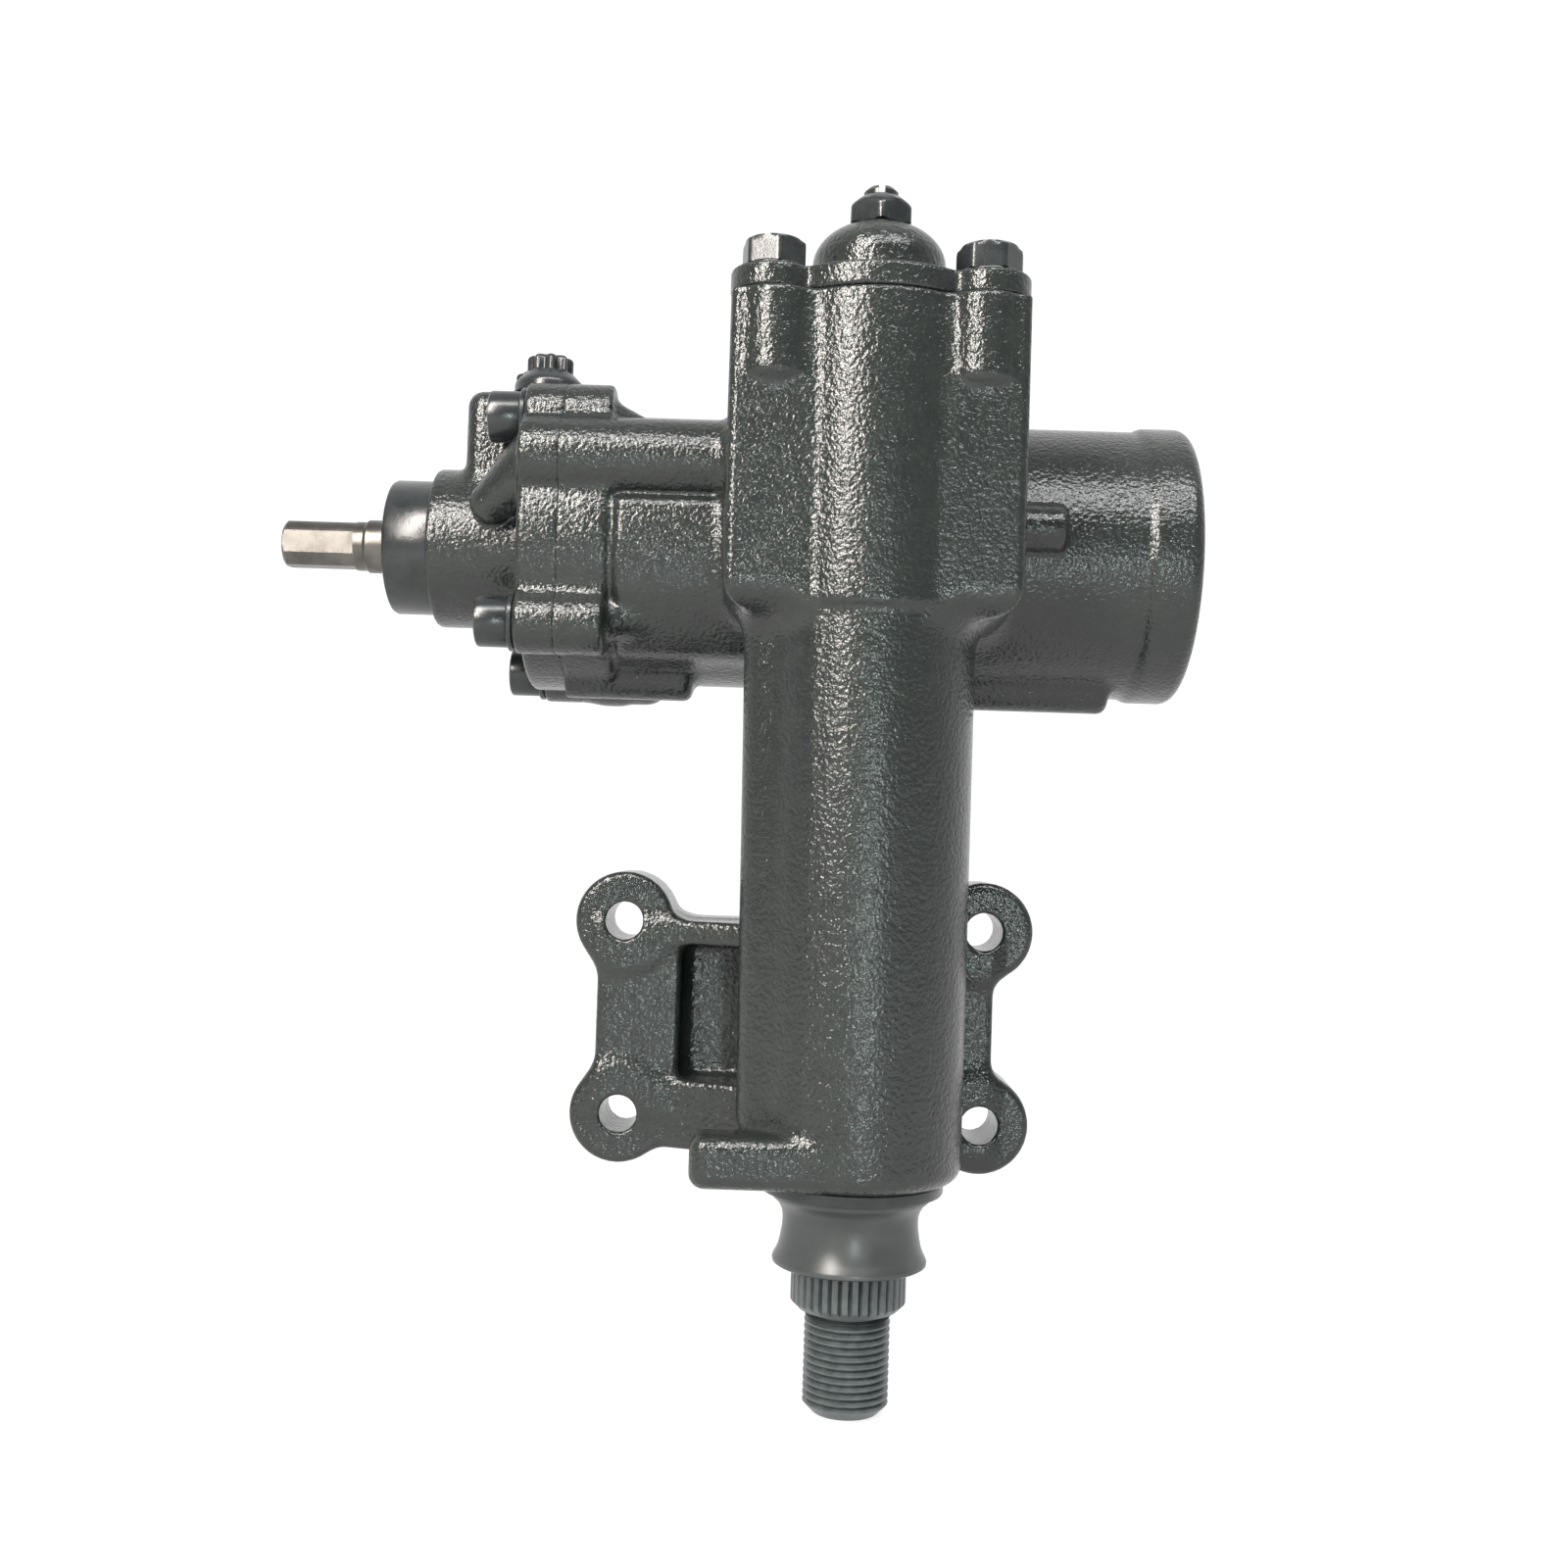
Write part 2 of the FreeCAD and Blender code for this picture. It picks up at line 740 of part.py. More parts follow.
def adjuster():
    """The adjusting screw, with its head in the shaft's end, its locknut and the parts round the head."""
    blank = turned(
        [
            ("0", "shaft_top - 5"),
            ("7", "shaft_top - 5"),
            ("7", "shaft_top - 2.2"),
            ("screw_radius - 0.05", "shaft_top - 2.2"),
            ("screw_radius - 0.05", "screw_top - 1.2"),
            ("screw_radius - 1.2", "screw_top"),
            ("0", "screw_top"),
        ]
    )
    slot = block(
        sector_point("-0.9", "-screw_radius - 1", "screw_top - 3"),
        sector_point("0.9", "screw_radius + 1", "screw_top + 1"),
    )
    finish_node("adjusting_screw", cut(blank, slot))
    nut = common(
        hexagon("locknut_flat", "locknut_high", sector_point(height="dome_top"), spin=30),
        turned(
            [
                ("screw_radius", "dome_top - 1"),
                ("locknut_flat / 2 + 3", "dome_top - 1"),
                ("locknut_flat / 2 + 0.7", "dome_top + 4.6"),
                ("locknut_flat / 2 - 0.8", "dome_top + 6.8"),
                ("screw_radius + 1", "dome_top + locknut_high"),
                ("screw_radius", "dome_top + locknut_high"),
            ]
        ),
    )
    finish_node("adjusting_screw_locknut", nut)
    finish_node("adjuster_thrust_washer", tube("2", "7.4", "shaft_top - 6.4", "shaft_top - 5.1"))
    finish_node(
        "adjuster_retaining_ring",
        tube("screw_radius + 0.3", "8.95", "shaft_top - 2.1", "shaft_top - 0.9"),
    )


def ports():
    """Shipping plugs in the two ports, their washers and the tube seats below."""
    plugs, washers, seats = [], [], []
    top = "port_block_top + 1"
    for port_x, out_y in port_places():
        rim = cylinder("plug_rim_radius - 1", "plug_rim_high", worm_point(port_x, out_y, top))
        flare = cone(
            "plug_rim_radius - 1",
            "plug_head_radius",
            "plug_flare_high - plug_rim_high",
            worm_point(port_x, out_y, top + " + plug_rim_high"),
        )
        head = cylinder("plug_head_radius", "plug_head_high", worm_point(port_x, out_y, top))
        stem = cylinder("port_hole - 0.05", "12", worm_point(port_x, out_y, "port_block_top - 11"))
        flutes = []
        for step in range(8):
            angle = math.radians(45.0 * step)
            flute = worm_point(
                f"{port_x} + (plug_head_radius + 0.4) * {math.cos(angle):.6f}",
                f"{out_y} + (plug_head_radius + 0.4) * {math.sin(angle):.6f}",
                top + " + plug_flare_high + 0.5",
            )
            flutes.append(cylinder("plug_flute", "plug_head_high", flute))
        plugs.append(cut(fuse(rim, flare, head, stem), *flutes))
        washers.append(
            cut(
                cylinder("plug_rim_radius - 1", "1", worm_point(port_x, out_y, "port_block_top")),
                cylinder("port_hole", "3", worm_point(port_x, out_y, "port_block_top - 1")),
            )
        )
        seats.append(
            cut(
                cylinder("port_hole", "8", worm_point(port_x, out_y, "port_block_top - 22.9")),
                cylinder("1.5", "10", worm_point(port_x, out_y, "port_block_top - 24")),
            )
        )
    finish_node("port_plugs", group(*plugs))
    finish_node("port_plug_washers", group(*washers))
    finish_node("port_seats", group(*seats))
    finish_node(
        "gallery_plug",
        cylinder(
            "gallery_hole", "5", worm_point("joint_face + 0.2", "-8", "-cylinder_radius + 1.5"), (1, 0, 0)
        ),
    )


# ---------------------------------------------------------------- bearings and seals
def sector_bearings():
    needle_inner = "journal_radius + 0.06"
    finish_node("lower_needle_bearing", tube(needle_inner, "21.5", "tower_bottom + 13", "tower_bottom + 37"))
    finish_node("upper_needle_bearing", tube(needle_inner, "21.5", "box_bottom - 23.5", "box_bottom + 1"))
    finish_node(
        "cover_needle_bearing",
        tube("upper_journal_radius + 0.06", "16", "cover_spigot_bottom + 1", "shaft_top - 9"),
    )
    finish_node(
        "sector_oil_seal", tube("journal_radius + 0.05", "23.45", "tower_bottom + 4.5", "tower_bottom + 11.8")
    )
    finish_node("seal_washer", tube("journal_radius + 0.4", "23.3", "tower_bottom + 3", "tower_bottom + 4.4"))
    finish_node(
        "seal_retaining_ring", tube("journal_radius + 2", "23.45", "tower_bottom + 1.3", "tower_bottom + 2.9")
    )


def foot_pieces():
    """The dust seal ring under the tower and the flared rubber boot below it."""
    dust_ring = turned(
        [
            ("journal_radius + 0.8", "foot_ring_bottom"),
            ("foot_ring_radius - 0.8", "foot_ring_bottom"),
            ("foot_ring_radius", "foot_ring_bottom + 0.8"),
            ("foot_ring_radius", "tower_bottom"),
            ("23.3", "tower_bottom"),
            ("23.3", "tower_bottom + 1.2"),
            ("journal_radius + 2", "tower_bottom + 1.2"),
            ("journal_radius + 2", "tower_bottom - 1.5"),
            ("journal_radius + 0.8", "tower_bottom - 1.5"),
        ]
    )
    finish_node("dust_seal_ring", dust_ring)
    boot = turned(
        [
            ("serration_radius + 0.4", "boot_bottom"),
            ("boot_lip_radius", "boot_bottom"),
            ("boot_lip_radius", "boot_bottom + 1.6"),
            ("boot_neck_radius + 0.5", "boot_bottom + 4.5"),
            ("boot_neck_radius", "boot_neck"),
            ("boot_neck_radius + 1.5", "boot_neck + 4"),
            ("foot_ring_radius - 2.5", "foot_ring_bottom - 0.05"),
            ("journal_radius + 0.8", "foot_ring_bottom - 0.05"),
            ("journal_radius + 0.8", "boot_neck + 2"),
            ("serration_radius + 0.4", "boot_neck - 1"),
        ]
    )
    finish_node("dust_boot", boot)


def input_end_pieces():
    plug = turned(
        [
            ("input_seal_radius + 0.05", "ring_end"),
            ("ring_radius - 1.2", "ring_end"),
            ("ring_radius", "ring_end + 1.2"),
            ("ring_radius", "neck_end"),
            ("20", "neck_end"),
            ("20", "valve_bore_end"),
            ("input_seal_radius + 0.05", "valve_bore_end"),
        ],
        "X",
    )
    finish_node("bearing_adjusting_plug", plug)
    shaft_fit = "input_collar_radius + 0.05"
    seal_radius = "input_seal_radius"
    finish_node("input_oil_seal", tube(shaft_fit, seal_radius, "ring_end + 0.6", "ring_end + 6", "X"))
    finish_node("input_needle_bearing", tube(shaft_fit, seal_radius, "ring_end + 6.4", "valve_bore_end", "X"))


def worm_bearing():
    """The ball bearing that holds the worm: two grooved races with a ring of balls between."""
    middle = "(race_left + race_right) / 2"
    groove = ring("race_ball_circle", "race_ball_radius + 0.15", worm_point(middle), (1, 0, 0))
    outer = tube("race_split_outer", "race_outer", "race_left", "race_right", "X")
    inner = tube("race_inner", "race_split_inner", "race_left", "race_right", "X")
    finish_node("worm_bearing_outer_race", cut(outer, groove))
    inner_groove = ring("race_ball_circle", "race_ball_radius + 0.15", worm_point(middle), (1, 0, 0))
    finish_node("worm_bearing_inner_race", cut(inner, inner_groove))
    balls = []
    for step in range(14):
        angle = math.radians(360.0 / 14 * step)
        balls.append(
            ball(
                "race_ball_radius",
                worm_point(
                    middle,
                    f"race_ball_circle * {math.cos(angle):.6f}",
                    f"race_ball_circle * {math.sin(angle):.6f}",
                ),
            )
        )
    finish_node("worm_bearing_balls", group(*balls))


# ---------------------------------------------------------------- worm, valve and input shaft
def ball_track(name, turns, start):
    """The ball track as a solid: a circle swept along a right-hand helix on the worm axis."""
    onto_worm = FreeCAD.Rotation(Vector(1, 1, 1), 120)
    helix = doc.addObject("Part::Helix", name + "Helix")
    helix.setExpression("Pitch", bound("worm_lead"))
    helix.setExpression("Height", bound(f"({turns}) * worm_lead"))
    helix.setExpression("Radius", bound("ball_circle"))
    circle = doc.addObject("Part::Circle", name + "Circle")
    circle.setExpression("Radius", bound("track_radius"))
    place(circle, ("ball_circle", "0", "0"), FreeCAD.Rotation(Vector(1, 0, 0), 90))
    sweep = doc.addObject("Part::Sweep", name)
    sweep.Sections = [circle]
    sweep.Spine = (helix, ["Edge1"])
    sweep.Solid = True
    sweep.Frenet = True
    return place(sweep, worm_point(start), onto_worm)


def worm_shaft():
    blank = turned(
        [
            ("torsion_radius + 0.05", "race_left - 10.9"),
            ("18.2", "race_left - 10.9"),
            ("18.2", "race_left - 5"),
            ("15", "race_left - 5"),
            ("15", "race_left"),
            ("race_inner", "race_left"),
            ("race_inner", "race_right + 3"),
            ("worm_radius", "race_right + 4"),
            ("worm_radius", "worm_end - 1.5"),
            ("worm_radius - 1.5", "worm_end"),
            ("0", "worm_end"),
            ("0", "race_right + 18"),
            ("torsion_radius + 0.05", "race_right + 18"),
        ],
        "X",
    )
    track = ball_track("WormTrack", "track_turns", "nut_centre - track_start_turns * worm_lead")
    pin_hole = cylinder("1.55", "40", worm_point("race_right + 9", "0", "-20"), (0, 0, 1))
    drive_hole = cylinder("1.55", "7", worm_point("race_left - 7.5", "0", "12"), (0, 0, 1))
    finish_node("worm_shaft", cut(blank, track, pin_hole, drive_hole))
    finish_node(
        "torsion_bar_pin", cylinder("1.5", "23", worm_point("race_right + 9", "0", "-11.5"), (0, 0, 1))
    )


def valve_sleeve():
    sleeve = turned(
        [
            ("sleeve_inner", "valve_bore_end + 0.6"),
            ("sleeve_outer", "valve_bore_end + 0.6"),
            ("sleeve_outer", "race_left - 11"),
            ("sleeve_inner", "race_left - 11"),
        ],
        "X",
    )
    grooves, rings, windows = [], [], []
    for step in range(4):
        left = f"valve_bore_end + 3.2 + {step} * 7.4"
        grooves.append(tube("sleeve_outer - 1.2", "sleeve_outer + 1", left, left + " + 2", "X"))
        seal_left, seal_right = left + " + 0.05", left + " + 1.95"
        rings.append(tube("sleeve_outer - 1.15", "sleeve_outer + 0.13", seal_left, seal_right, "X"))
    for step in range(3):
        middle = f"valve_bore_end + 7.9 + {step} * 7.4"
        low, high = middle + " - 1.4", middle + " + 1.4"
        grooves.append(tube("sleeve_outer - 1.6", "sleeve_outer + 1", low, high, "X"))
        for turn in range(3):
            angle = math.radians(120.0 * turn + 40.0 * step)
            windows.append(
                cylinder(
                    "1.1",
                    "10",
                    worm_point(middle, f"9.5 * {math.cos(angle):.6f}", f"9.5 * {math.sin(angle):.6f}"),
                    (0, math.cos(angle), math.sin(angle)),
                )
            )
    finish_node("valve_sleeve", cut(sleeve, *grooves, *windows))
    finish_node("valve_sleeve_rings", group(*rings))
    finish_node(
        "sleeve_drive_pin", cylinder("1.5", "5", worm_point("race_left - 7.5", "0", "13.1"), (0, 0, 1))
    )


def input_shaft():
    blank = turned(
        [
            ("torsion_radius + 0.05", "input_end + 12"),
            ("0", "input_end + 12"),
            ("0", "input_end"),
            ("input_radius - 1", "input_end"),
            ("input_radius", "input_end + 1"),
            ("input_radius", "ring_end - 9"),
            ("input_collar_radius", "ring_end - 8"),
            ("input_collar_radius", "valve_bore_end + 0.3"),
            ("rotor_radius", "valve_bore_end + 0.3"),
            ("rotor_radius", "race_left - 11.4"),
            ("torsion_radius + 0.05", "race_left - 11.4"),
        ],
        "X",
    )
    flats = []
    for side in (-1, 1):
        near, far = ("input_flat", "input_radius + 3") if side > 0 else ("-input_radius - 3", "-input_flat")
        flats.append(
            block(
                worm_point("input_end - 1", near, "-input_radius - 1"),
                worm_point("ring_end - 12", far, "input_radius + 1"),
            )
        )
        flats.append(
            block(
                worm_point("input_end - 1", "-input_radius - 1", near),
                worm_point("ring_end - 12", "input_radius + 1", far),
            )
        )
    for step in range(6):
        angle = math.radians(60.0 * step)
        flats.append(
            cylinder(
                "1.6",
                "22",
                worm_point(
                    "valve_bore_end + 3",
                    f"rotor_radius * {math.cos(angle):.6f}",
                    f"rotor_radius * {math.sin(angle):.6f}",
                ),
                (1, 0, 0),
            )
        )
    finish_node("input_shaft", cut(blank, *flats))
    pin_hole = cylinder("1.52", "10", worm_point("race_right + 9", "0", "-5"), (0, 0, 1))
    bar = rod("torsion_radius", "input_end + 12.5", "race_right + 17.5", "X")
    finish_node("torsion_bar", cut(bar, pin_hole))


# ---------------------------------------------------------------- rack-piston
def return_tube():
    """One ball return: two legs out of the track and a straight run above them, bent from one tube."""
    half = 1.25 * number("worm_lead")
    centre = number("nut_centre")
    reach, bend = number("return_reach"), 5.0
    bore, wall = number("track_radius"), number("ball_radius") + 1.1
    side = number("ball_circle")
    paths = []
    for radius in (wall, bore):
        first = Vector(centre + half, 10.0, side)
        last = Vector(centre - half, 10.0, -side)
        top_first = Vector(first.x, reach, first.z)
        top_last = Vector(last.x, reach, last.z)
        run = (top_last - top_first).normalize()
        up = Vector(0, 1, 0)
        middle = math.sqrt(0.5)
        arc_first = Part.Arc(
            top_first - up * bend,
            top_first - up * bend + run * bend + (up * middle - run * middle) * bend,
            top_first + run * bend,
        )
        arc_last = Part.Arc(
            top_last - run * bend,
            top_last - up * bend - run * bend + (up * middle + run * middle) * bend,
            top_last - up * bend,
        )
        wire = Part.Wire(
            [
                Part.makeLine(first, top_first - up * bend),
                arc_first.toShape(),
                Part.makeLine(top_first + run * bend, top_last - run * bend),
                arc_last.toShape(),
                Part.makeLine(top_last - up * bend, last),
            ]
        )
        circle = Part.Wire([Part.makeCircle(radius, first, up)])
        paths.append(wire.makePipeShell([circle], True, False))
    shape = paths[0].cut(paths[1])
    thing = doc.addObject("Part::Feature", "ReturnTube")
    thing.Shape = shape
    return place(thing, ("sector_x", WORM_Y, "worm_height"))


def rack_space(step):
    """One straight-sided space between rack teeth, counted from the middle one."""
    module = number("tooth_module")
    pitch_line = number("gear_centres") - number("pitch_radius")
    slope = math.tan(math.radians(number("pressure_angle")))
    middle = step * math.pi * module
    mouth, foot = pitch_line + 2 * module, pitch_line - 1.25 * module
    half_mouth = math.pi * module / 4 + (mouth - pitch_line) * slope
    half_foot = math.pi * module / 4 - (pitch_line - foot) * slope
    corners = [
        Vector(middle - half_mouth, -mouth, 0),
        Vector(middle + half_mouth, -mouth, 0),
        Vector(middle + half_foot, -foot, 0),
        Vector(middle - half_foot, -foot, 0),
    ]
    face = Part.Face(Part.makePolygon(corners + corners[:1]))
    space = doc.addObject("Part::Feature", "RackSpace")
    space.Shape = face.extrude(Vector(0, 0, 2 * number("piston_radius")))
    return place(space, worm_point(out_z="-piston_radius"))


def rack_piston():
    blank = turned(
        [
            ("0", "piston_left"),
            ("piston_radius - 1.5", "piston_left"),
            ("piston_radius", "piston_left + 1.5"),
            ("piston_radius", "piston_ring_at"),
            ("piston_radius - 3", "piston_ring_at"),
            ("piston_radius - 3", "piston_ring_at + 4"),
            ("piston_radius", "piston_ring_at + 4"),
            ("piston_radius", "piston_right - 1.5"),
            ("piston_radius - 1.5", "piston_right"),
            ("0", "piston_right"),
        ],
        "X",
    )
    spaces = [rack_space(step) for step in (-1, 0, 1)]
    half_rack = "(1.5 * pi * tooth_module + 8)"
    crest = "pitch_radius - gear_centres - tooth_module"
    flat = block(
        worm_point("-" + half_rack, "-piston_radius - 1", "-piston_radius"),
        worm_point(half_rack, crest, "piston_radius"),
    )
    bore = cylinder(
        "piston_bore", "piston_bore_end - piston_left + 1", worm_point("piston_left - 1"), (1, 0, 0)
    )
    plug_bore = cylinder("19", "piston_right - piston_bore_end + 1", worm_point("piston_bore_end"), (1, 0, 0))
    track = ball_track("NutTrack", "3", "nut_centre - 1.5 * worm_lead")
    pocket = block(
        worm_point("nut_centre - 21", "return_reach - 4.8", "-19"),
        worm_point("nut_centre + 21", "piston_radius + 1", "19"),
    )
    legs = []
    for side in (-1, 1):
        legs.append(
            cylinder(
                "ball_radius + 1.15",
                "24",
                worm_point(f"nut_centre + {side} * 1.25 * worm_lead", "9.9", f"{side} * ball_circle"),
                (0, 1, 0),
            )
        )
    screw_holes = []
    for side in (-1, 1):
        x, z = f"nut_centre + {side} * clamp_offset", f"{-side} * clamp_offset"
        screw_holes.append(cylinder("2", "9", worm_point(x, "16.2", z), (0, 1, 0)))
    finish_node(
        "rack_piston", cut(blank, *spaces, flat, bore, plug_bore, track, pocket, *legs, *screw_holes)
    )
    finish_node(
        "piston_seal_ring",
        tube(
            "piston_radius - 1.4", "cylinder_bore - 0.02", "piston_ring_at + 0.1", "piston_ring_at + 3.9", "X"
        ),
    )
    finish_node(
        "piston_backup_ring",
        tube(
            "piston_radius - 2.95",
            "piston_radius - 1.45",
            "piston_ring_at + 0.3",
            "piston_ring_at + 3.7",
            "X",
        ),
    )
    finish_node(
        "piston_end_plug",
        cut(
            cylinder("18.95", "piston_right - piston_bore_end - 1", worm_point("piston_bore_end"), (1, 0, 0)),
            hexagon("10", "6", worm_point("piston_right - 6"), (1, 0, 0)),
        ),
    )


def return_parts():
    finish_node("ball_return_tube", return_tube())
    plate = block(
        worm_point("nut_centre - clamp_offset - 3", "clamp_top - 1.2", "-clamp_offset - 3"),
        worm_point("nut_centre + clamp_offset + 3", "clamp_top", "clamp_offset + 3"),
    )
    feet, holes, screws = [], [], []
    for side in (-1, 1):
        x, z = f"nut_centre + {side} * clamp_offset", f"{-side} * clamp_offset"
        feet.append(
            block(
                worm_point(x + " - 3", "return_reach - 4.75", z + " - 3"),
                worm_point(x + " + 3", "clamp_top", z + " + 3"),
            )
        )
        holes.append(cylinder("2.1", "16", worm_point(x, "16", z), (0, 1, 0)))
        screws.append(
            fuse(
                cylinder("1.95", "15", worm_point(x, "16.4", z), (0, 1, 0)),
                cylinder("3", "1.4", worm_point(x, "clamp_top + 0.05", z), (0, 1, 0)),
            )
        )
    finish_node("return_tube_clamp", cut(fuse(plate, *feet), tube_trough(), *holes))
    finish_node("clamp_screws", group(*screws))


def tube_trough():
    """Room for the return tube under its clamp: a slanted trough a little wider than the tube."""
    trough = doc.addObject("Part::Cylinder", "Trough")
    trough.setExpression("Radius", bound("ball_radius + 1.15"))
    trough.setExpression("Height", "70")
    run = Vector(1.25 * number("worm_lead"), 0, number("ball_circle")).normalize()
    turn = along(run)
    return place(
        trough,
        worm_point(f"nut_centre - 35 * {run.x:.6f}", "return_reach", f"-35 * {run.z:.6f}"),
        turn,
    )


def recirculating_balls():
    """Balls in the loaded two and a half turns of the track and along the return tube."""
    turns, count = 2.5, 28
    balls = []
    for step in range(count):
        turn = -turns / 2 + turns * step / (count - 1)
        angle = 2 * math.pi * turn + math.pi
        balls.append(
            ball(
                "ball_radius",
                worm_point(
                    f"nut_centre + {turn:.6f} * worm_lead",
                    f"ball_circle * {math.cos(angle):.6f}",
                    f"ball_circle * {math.sin(angle):.6f}",
                ),
            )
        )
    for step in range(3):
        share = (step - 1) * 0.62
        balls.append(
            ball(
                "ball_radius",
                worm_point(
                    f"nut_centre + {share:.3f} * 1.25 * worm_lead",
                    "return_reach",
                    f"{share:.3f} * ball_circle",
                ),
            )
        )
    finish_node("recirculating_balls", group(*balls))


# ---------------------------------------------------------------- sector shaft
def involute_tooth():
    """One sector tooth centred on +X: two involute flanks from the root to the tip, as a face."""
    teeth, module = number("sector_teeth"), number("tooth_module")
    pressure = math.radians(number("pressure_angle"))
    pitch_radius = number("pitch_radius")
    base = pitch_radius * math.cos(pressure)
    tip = pitch_radius + module
    half_at_pitch = (math.pi * module - number("backlash") * 2) / 4 / pitch_radius
    spread = math.tan(pressure) - pressure

    def flank_angle(radius):
        roll = math.acos(min(1.0, base / radius))
        return half_at_pitch + spread - (math.tan(roll) - roll)

    def polar(radius, angle):
        return Vector(radius * math.cos(angle), radius * math.sin(angle), 0)

    steps = 8
    radii = [base + (tip - base) * (k / steps) ** 1.5 for k in range(steps + 1)]
    flank = Part.BSplineCurve()
    flank.interpolate([polar(r, flank_angle(r)) for r in radii])
    mirror = Part.BSplineCurve()
    mirror.interpolate([polar(r, -flank_angle(r)) for r in reversed(radii)])
    inner = base - 6.0
    foot = flank_angle(base)
    edges = [
        Part.makeLine(polar(inner, foot), polar(base, foot)),
        flank.toShape(),
        Part.Arc(polar(tip, flank_angle(tip)), polar(tip, 0), polar(tip, -flank_angle(tip))).toShape(),
        mirror.toShape(),
        Part.makeLine(polar(base, -foot), polar(inner, -foot)),
        Part.makeLine(polar(inner, -foot), polar(inner, foot)),
    ]
    return Part.Face(Part.Wire(edges)), 360.0 / teeth


def sector_teeth():
    """The three teeth of the sector, in mesh with the rack at rest."""
    face, step = involute_tooth()
    teeth = []
    for place_on_sector in (-1, 0, 1):
        tooth = doc.addObject("Part::Feature", "SectorTooth")
        tooth.Shape = face.extrude(Vector(0, 0, number("tooth_face")))
        turn = FreeCAD.Rotation(Vector(0, 0, 1), 90 + place_on_sector * step)
        teeth.append(place(tooth, sector_point(height="worm_height - tooth_face / 2"), turn))
    return teeth


def sector_shaft():
    """The pitman shaft: journals, sector hub, serrations for the arm and the thread for its nut."""
    shaft = turned(
        [
            ("0", "thread_end"),
            ("thread_radius - 2.6", "thread_end"),
            ("thread_radius", "thread_end + 2.6"),
            ("thread_radius", "thread_top"),
            ("thread_radius - 1.3", "thread_top + 0.6"),
            ("thread_radius - 1.3", "thread_top + 2"),
            ("serration_radius - 2", "thread_top + 2"),
            ("serration_radius", "serration_bottom"),
            ("serration_radius", "boot_neck - 6"),
            ("serration_radius - 0.6", "boot_neck - 5"),
            ("serration_radius - 0.6", "boot_neck"),
            ("journal_radius", "shaft_seal_step"),
            ("journal_radius", "chamber_bottom"),
            ("pitch_radius - 1.25 * tooth_module", "chamber_bottom + 2.5"),
            ("pitch_radius - 1.25 * tooth_module", "worm_height + tooth_face / 2"),
            ("upper_journal_radius + 2", "worm_height + tooth_face / 2 + 2"),
            ("upper_journal_radius", "163"),
            ("upper_journal_radius", "shaft_top - 1"),
            ("upper_journal_radius - 1", "shaft_top"),
            ("9", "shaft_top"),
            ("9", "shaft_top - 2.2"),
            ("7.5", "shaft_top - 2.2"),
            ("7.5", "shaft_top - 6.5"),
            ("0", "shaft_top - 6.5"),
        ]
    )
    thread_cuts = []
    for step in range(12):
        height = f"thread_end + 2.6 + {step} * thread_pitch"
        thread_cuts.append(
            turned(
                [
                    ("thread_radius - 1.1", f"{height} + 0.5 * thread_pitch"),
                    ("thread_radius + 0.2", f"{height} + 0.06 * thread_pitch"),
                    ("thread_radius + 0.2", f"{height} + 0.94 * thread_pitch"),
                ]
            )
        )
    notches = []
    count = int(number("serration_count"))
    for step in range(count):
        notch = doc.addObject("Part::Prism", "Notch")
        notch.Polygon = 3
        notch.Circumradius = 1.25
        notch.setExpression("Height", bound("boot_neck - serration_bottom + 6"))
        angle = 360.0 / count * step
        turn = FreeCAD.Rotation(Vector(0, 0, 1), angle + 180)
        reach = "(serration_radius + 0.15)"
        notches.append(
            place(
                notch,
                sector_point(
                    f"{reach} * {math.cos(math.radians(angle)):.6f}",
                    f"{reach} * {math.sin(math.radians(angle)):.6f}",
                    "serration_bottom - 6",
                ),
                turn,
            )
        )
    finish_node("sector_shaft", cut(fuse(shaft, *sector_teeth()), *thread_cuts, *notches))


# ---------------------------------------------------------------- build, check and write
def check_and_write():
    doc.recompute()
    broken = [o.Name for o in doc.Objects if {"Invalid", "Error"} & set(o.State)]
    if broken:
        raise RuntimeError("failed objects: " + ", ".join(broken))
    for name, thing in nodes.items():
        if thing.Shape.isNull() or not thing.Shape.isValid():
            raise RuntimeError("bad shape: " + name)
    os.makedirs("parts", exist_ok=True)
    for name, thing in nodes.items():
        thing.Shape.exportStep(f"parts/{name}.step")
        print(f"{name}: {len(thing.Shape.Solids)} solids, {thing.Shape.Volume:.0f} mm3")


def main():
    gear_housing()
    valve_housing()
    sector_cover()
    cover_bolts()
    joint_screws()
    adjuster()
    ports()
    sector_bearings()
    foot_pieces()
    input_end_pieces()
    worm_bearing()
    worm_shaft()
    valve_sleeve()
    input_shaft()
    rack_piston()
    return_parts()
    recirculating_balls()
    sector_shaft()
    check_and_write()


main()
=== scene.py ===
"""Looks of an integral power steering gearbox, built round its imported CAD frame.

The castings are modelled as solid fields (rounded shapes blended by fillets, with their bores cut
out) and turned into meshes. Turned and hexagonal pieces are lathed. Lengths inside the builders
are millimetres in the row frame; meshes are stored in metres.
"""

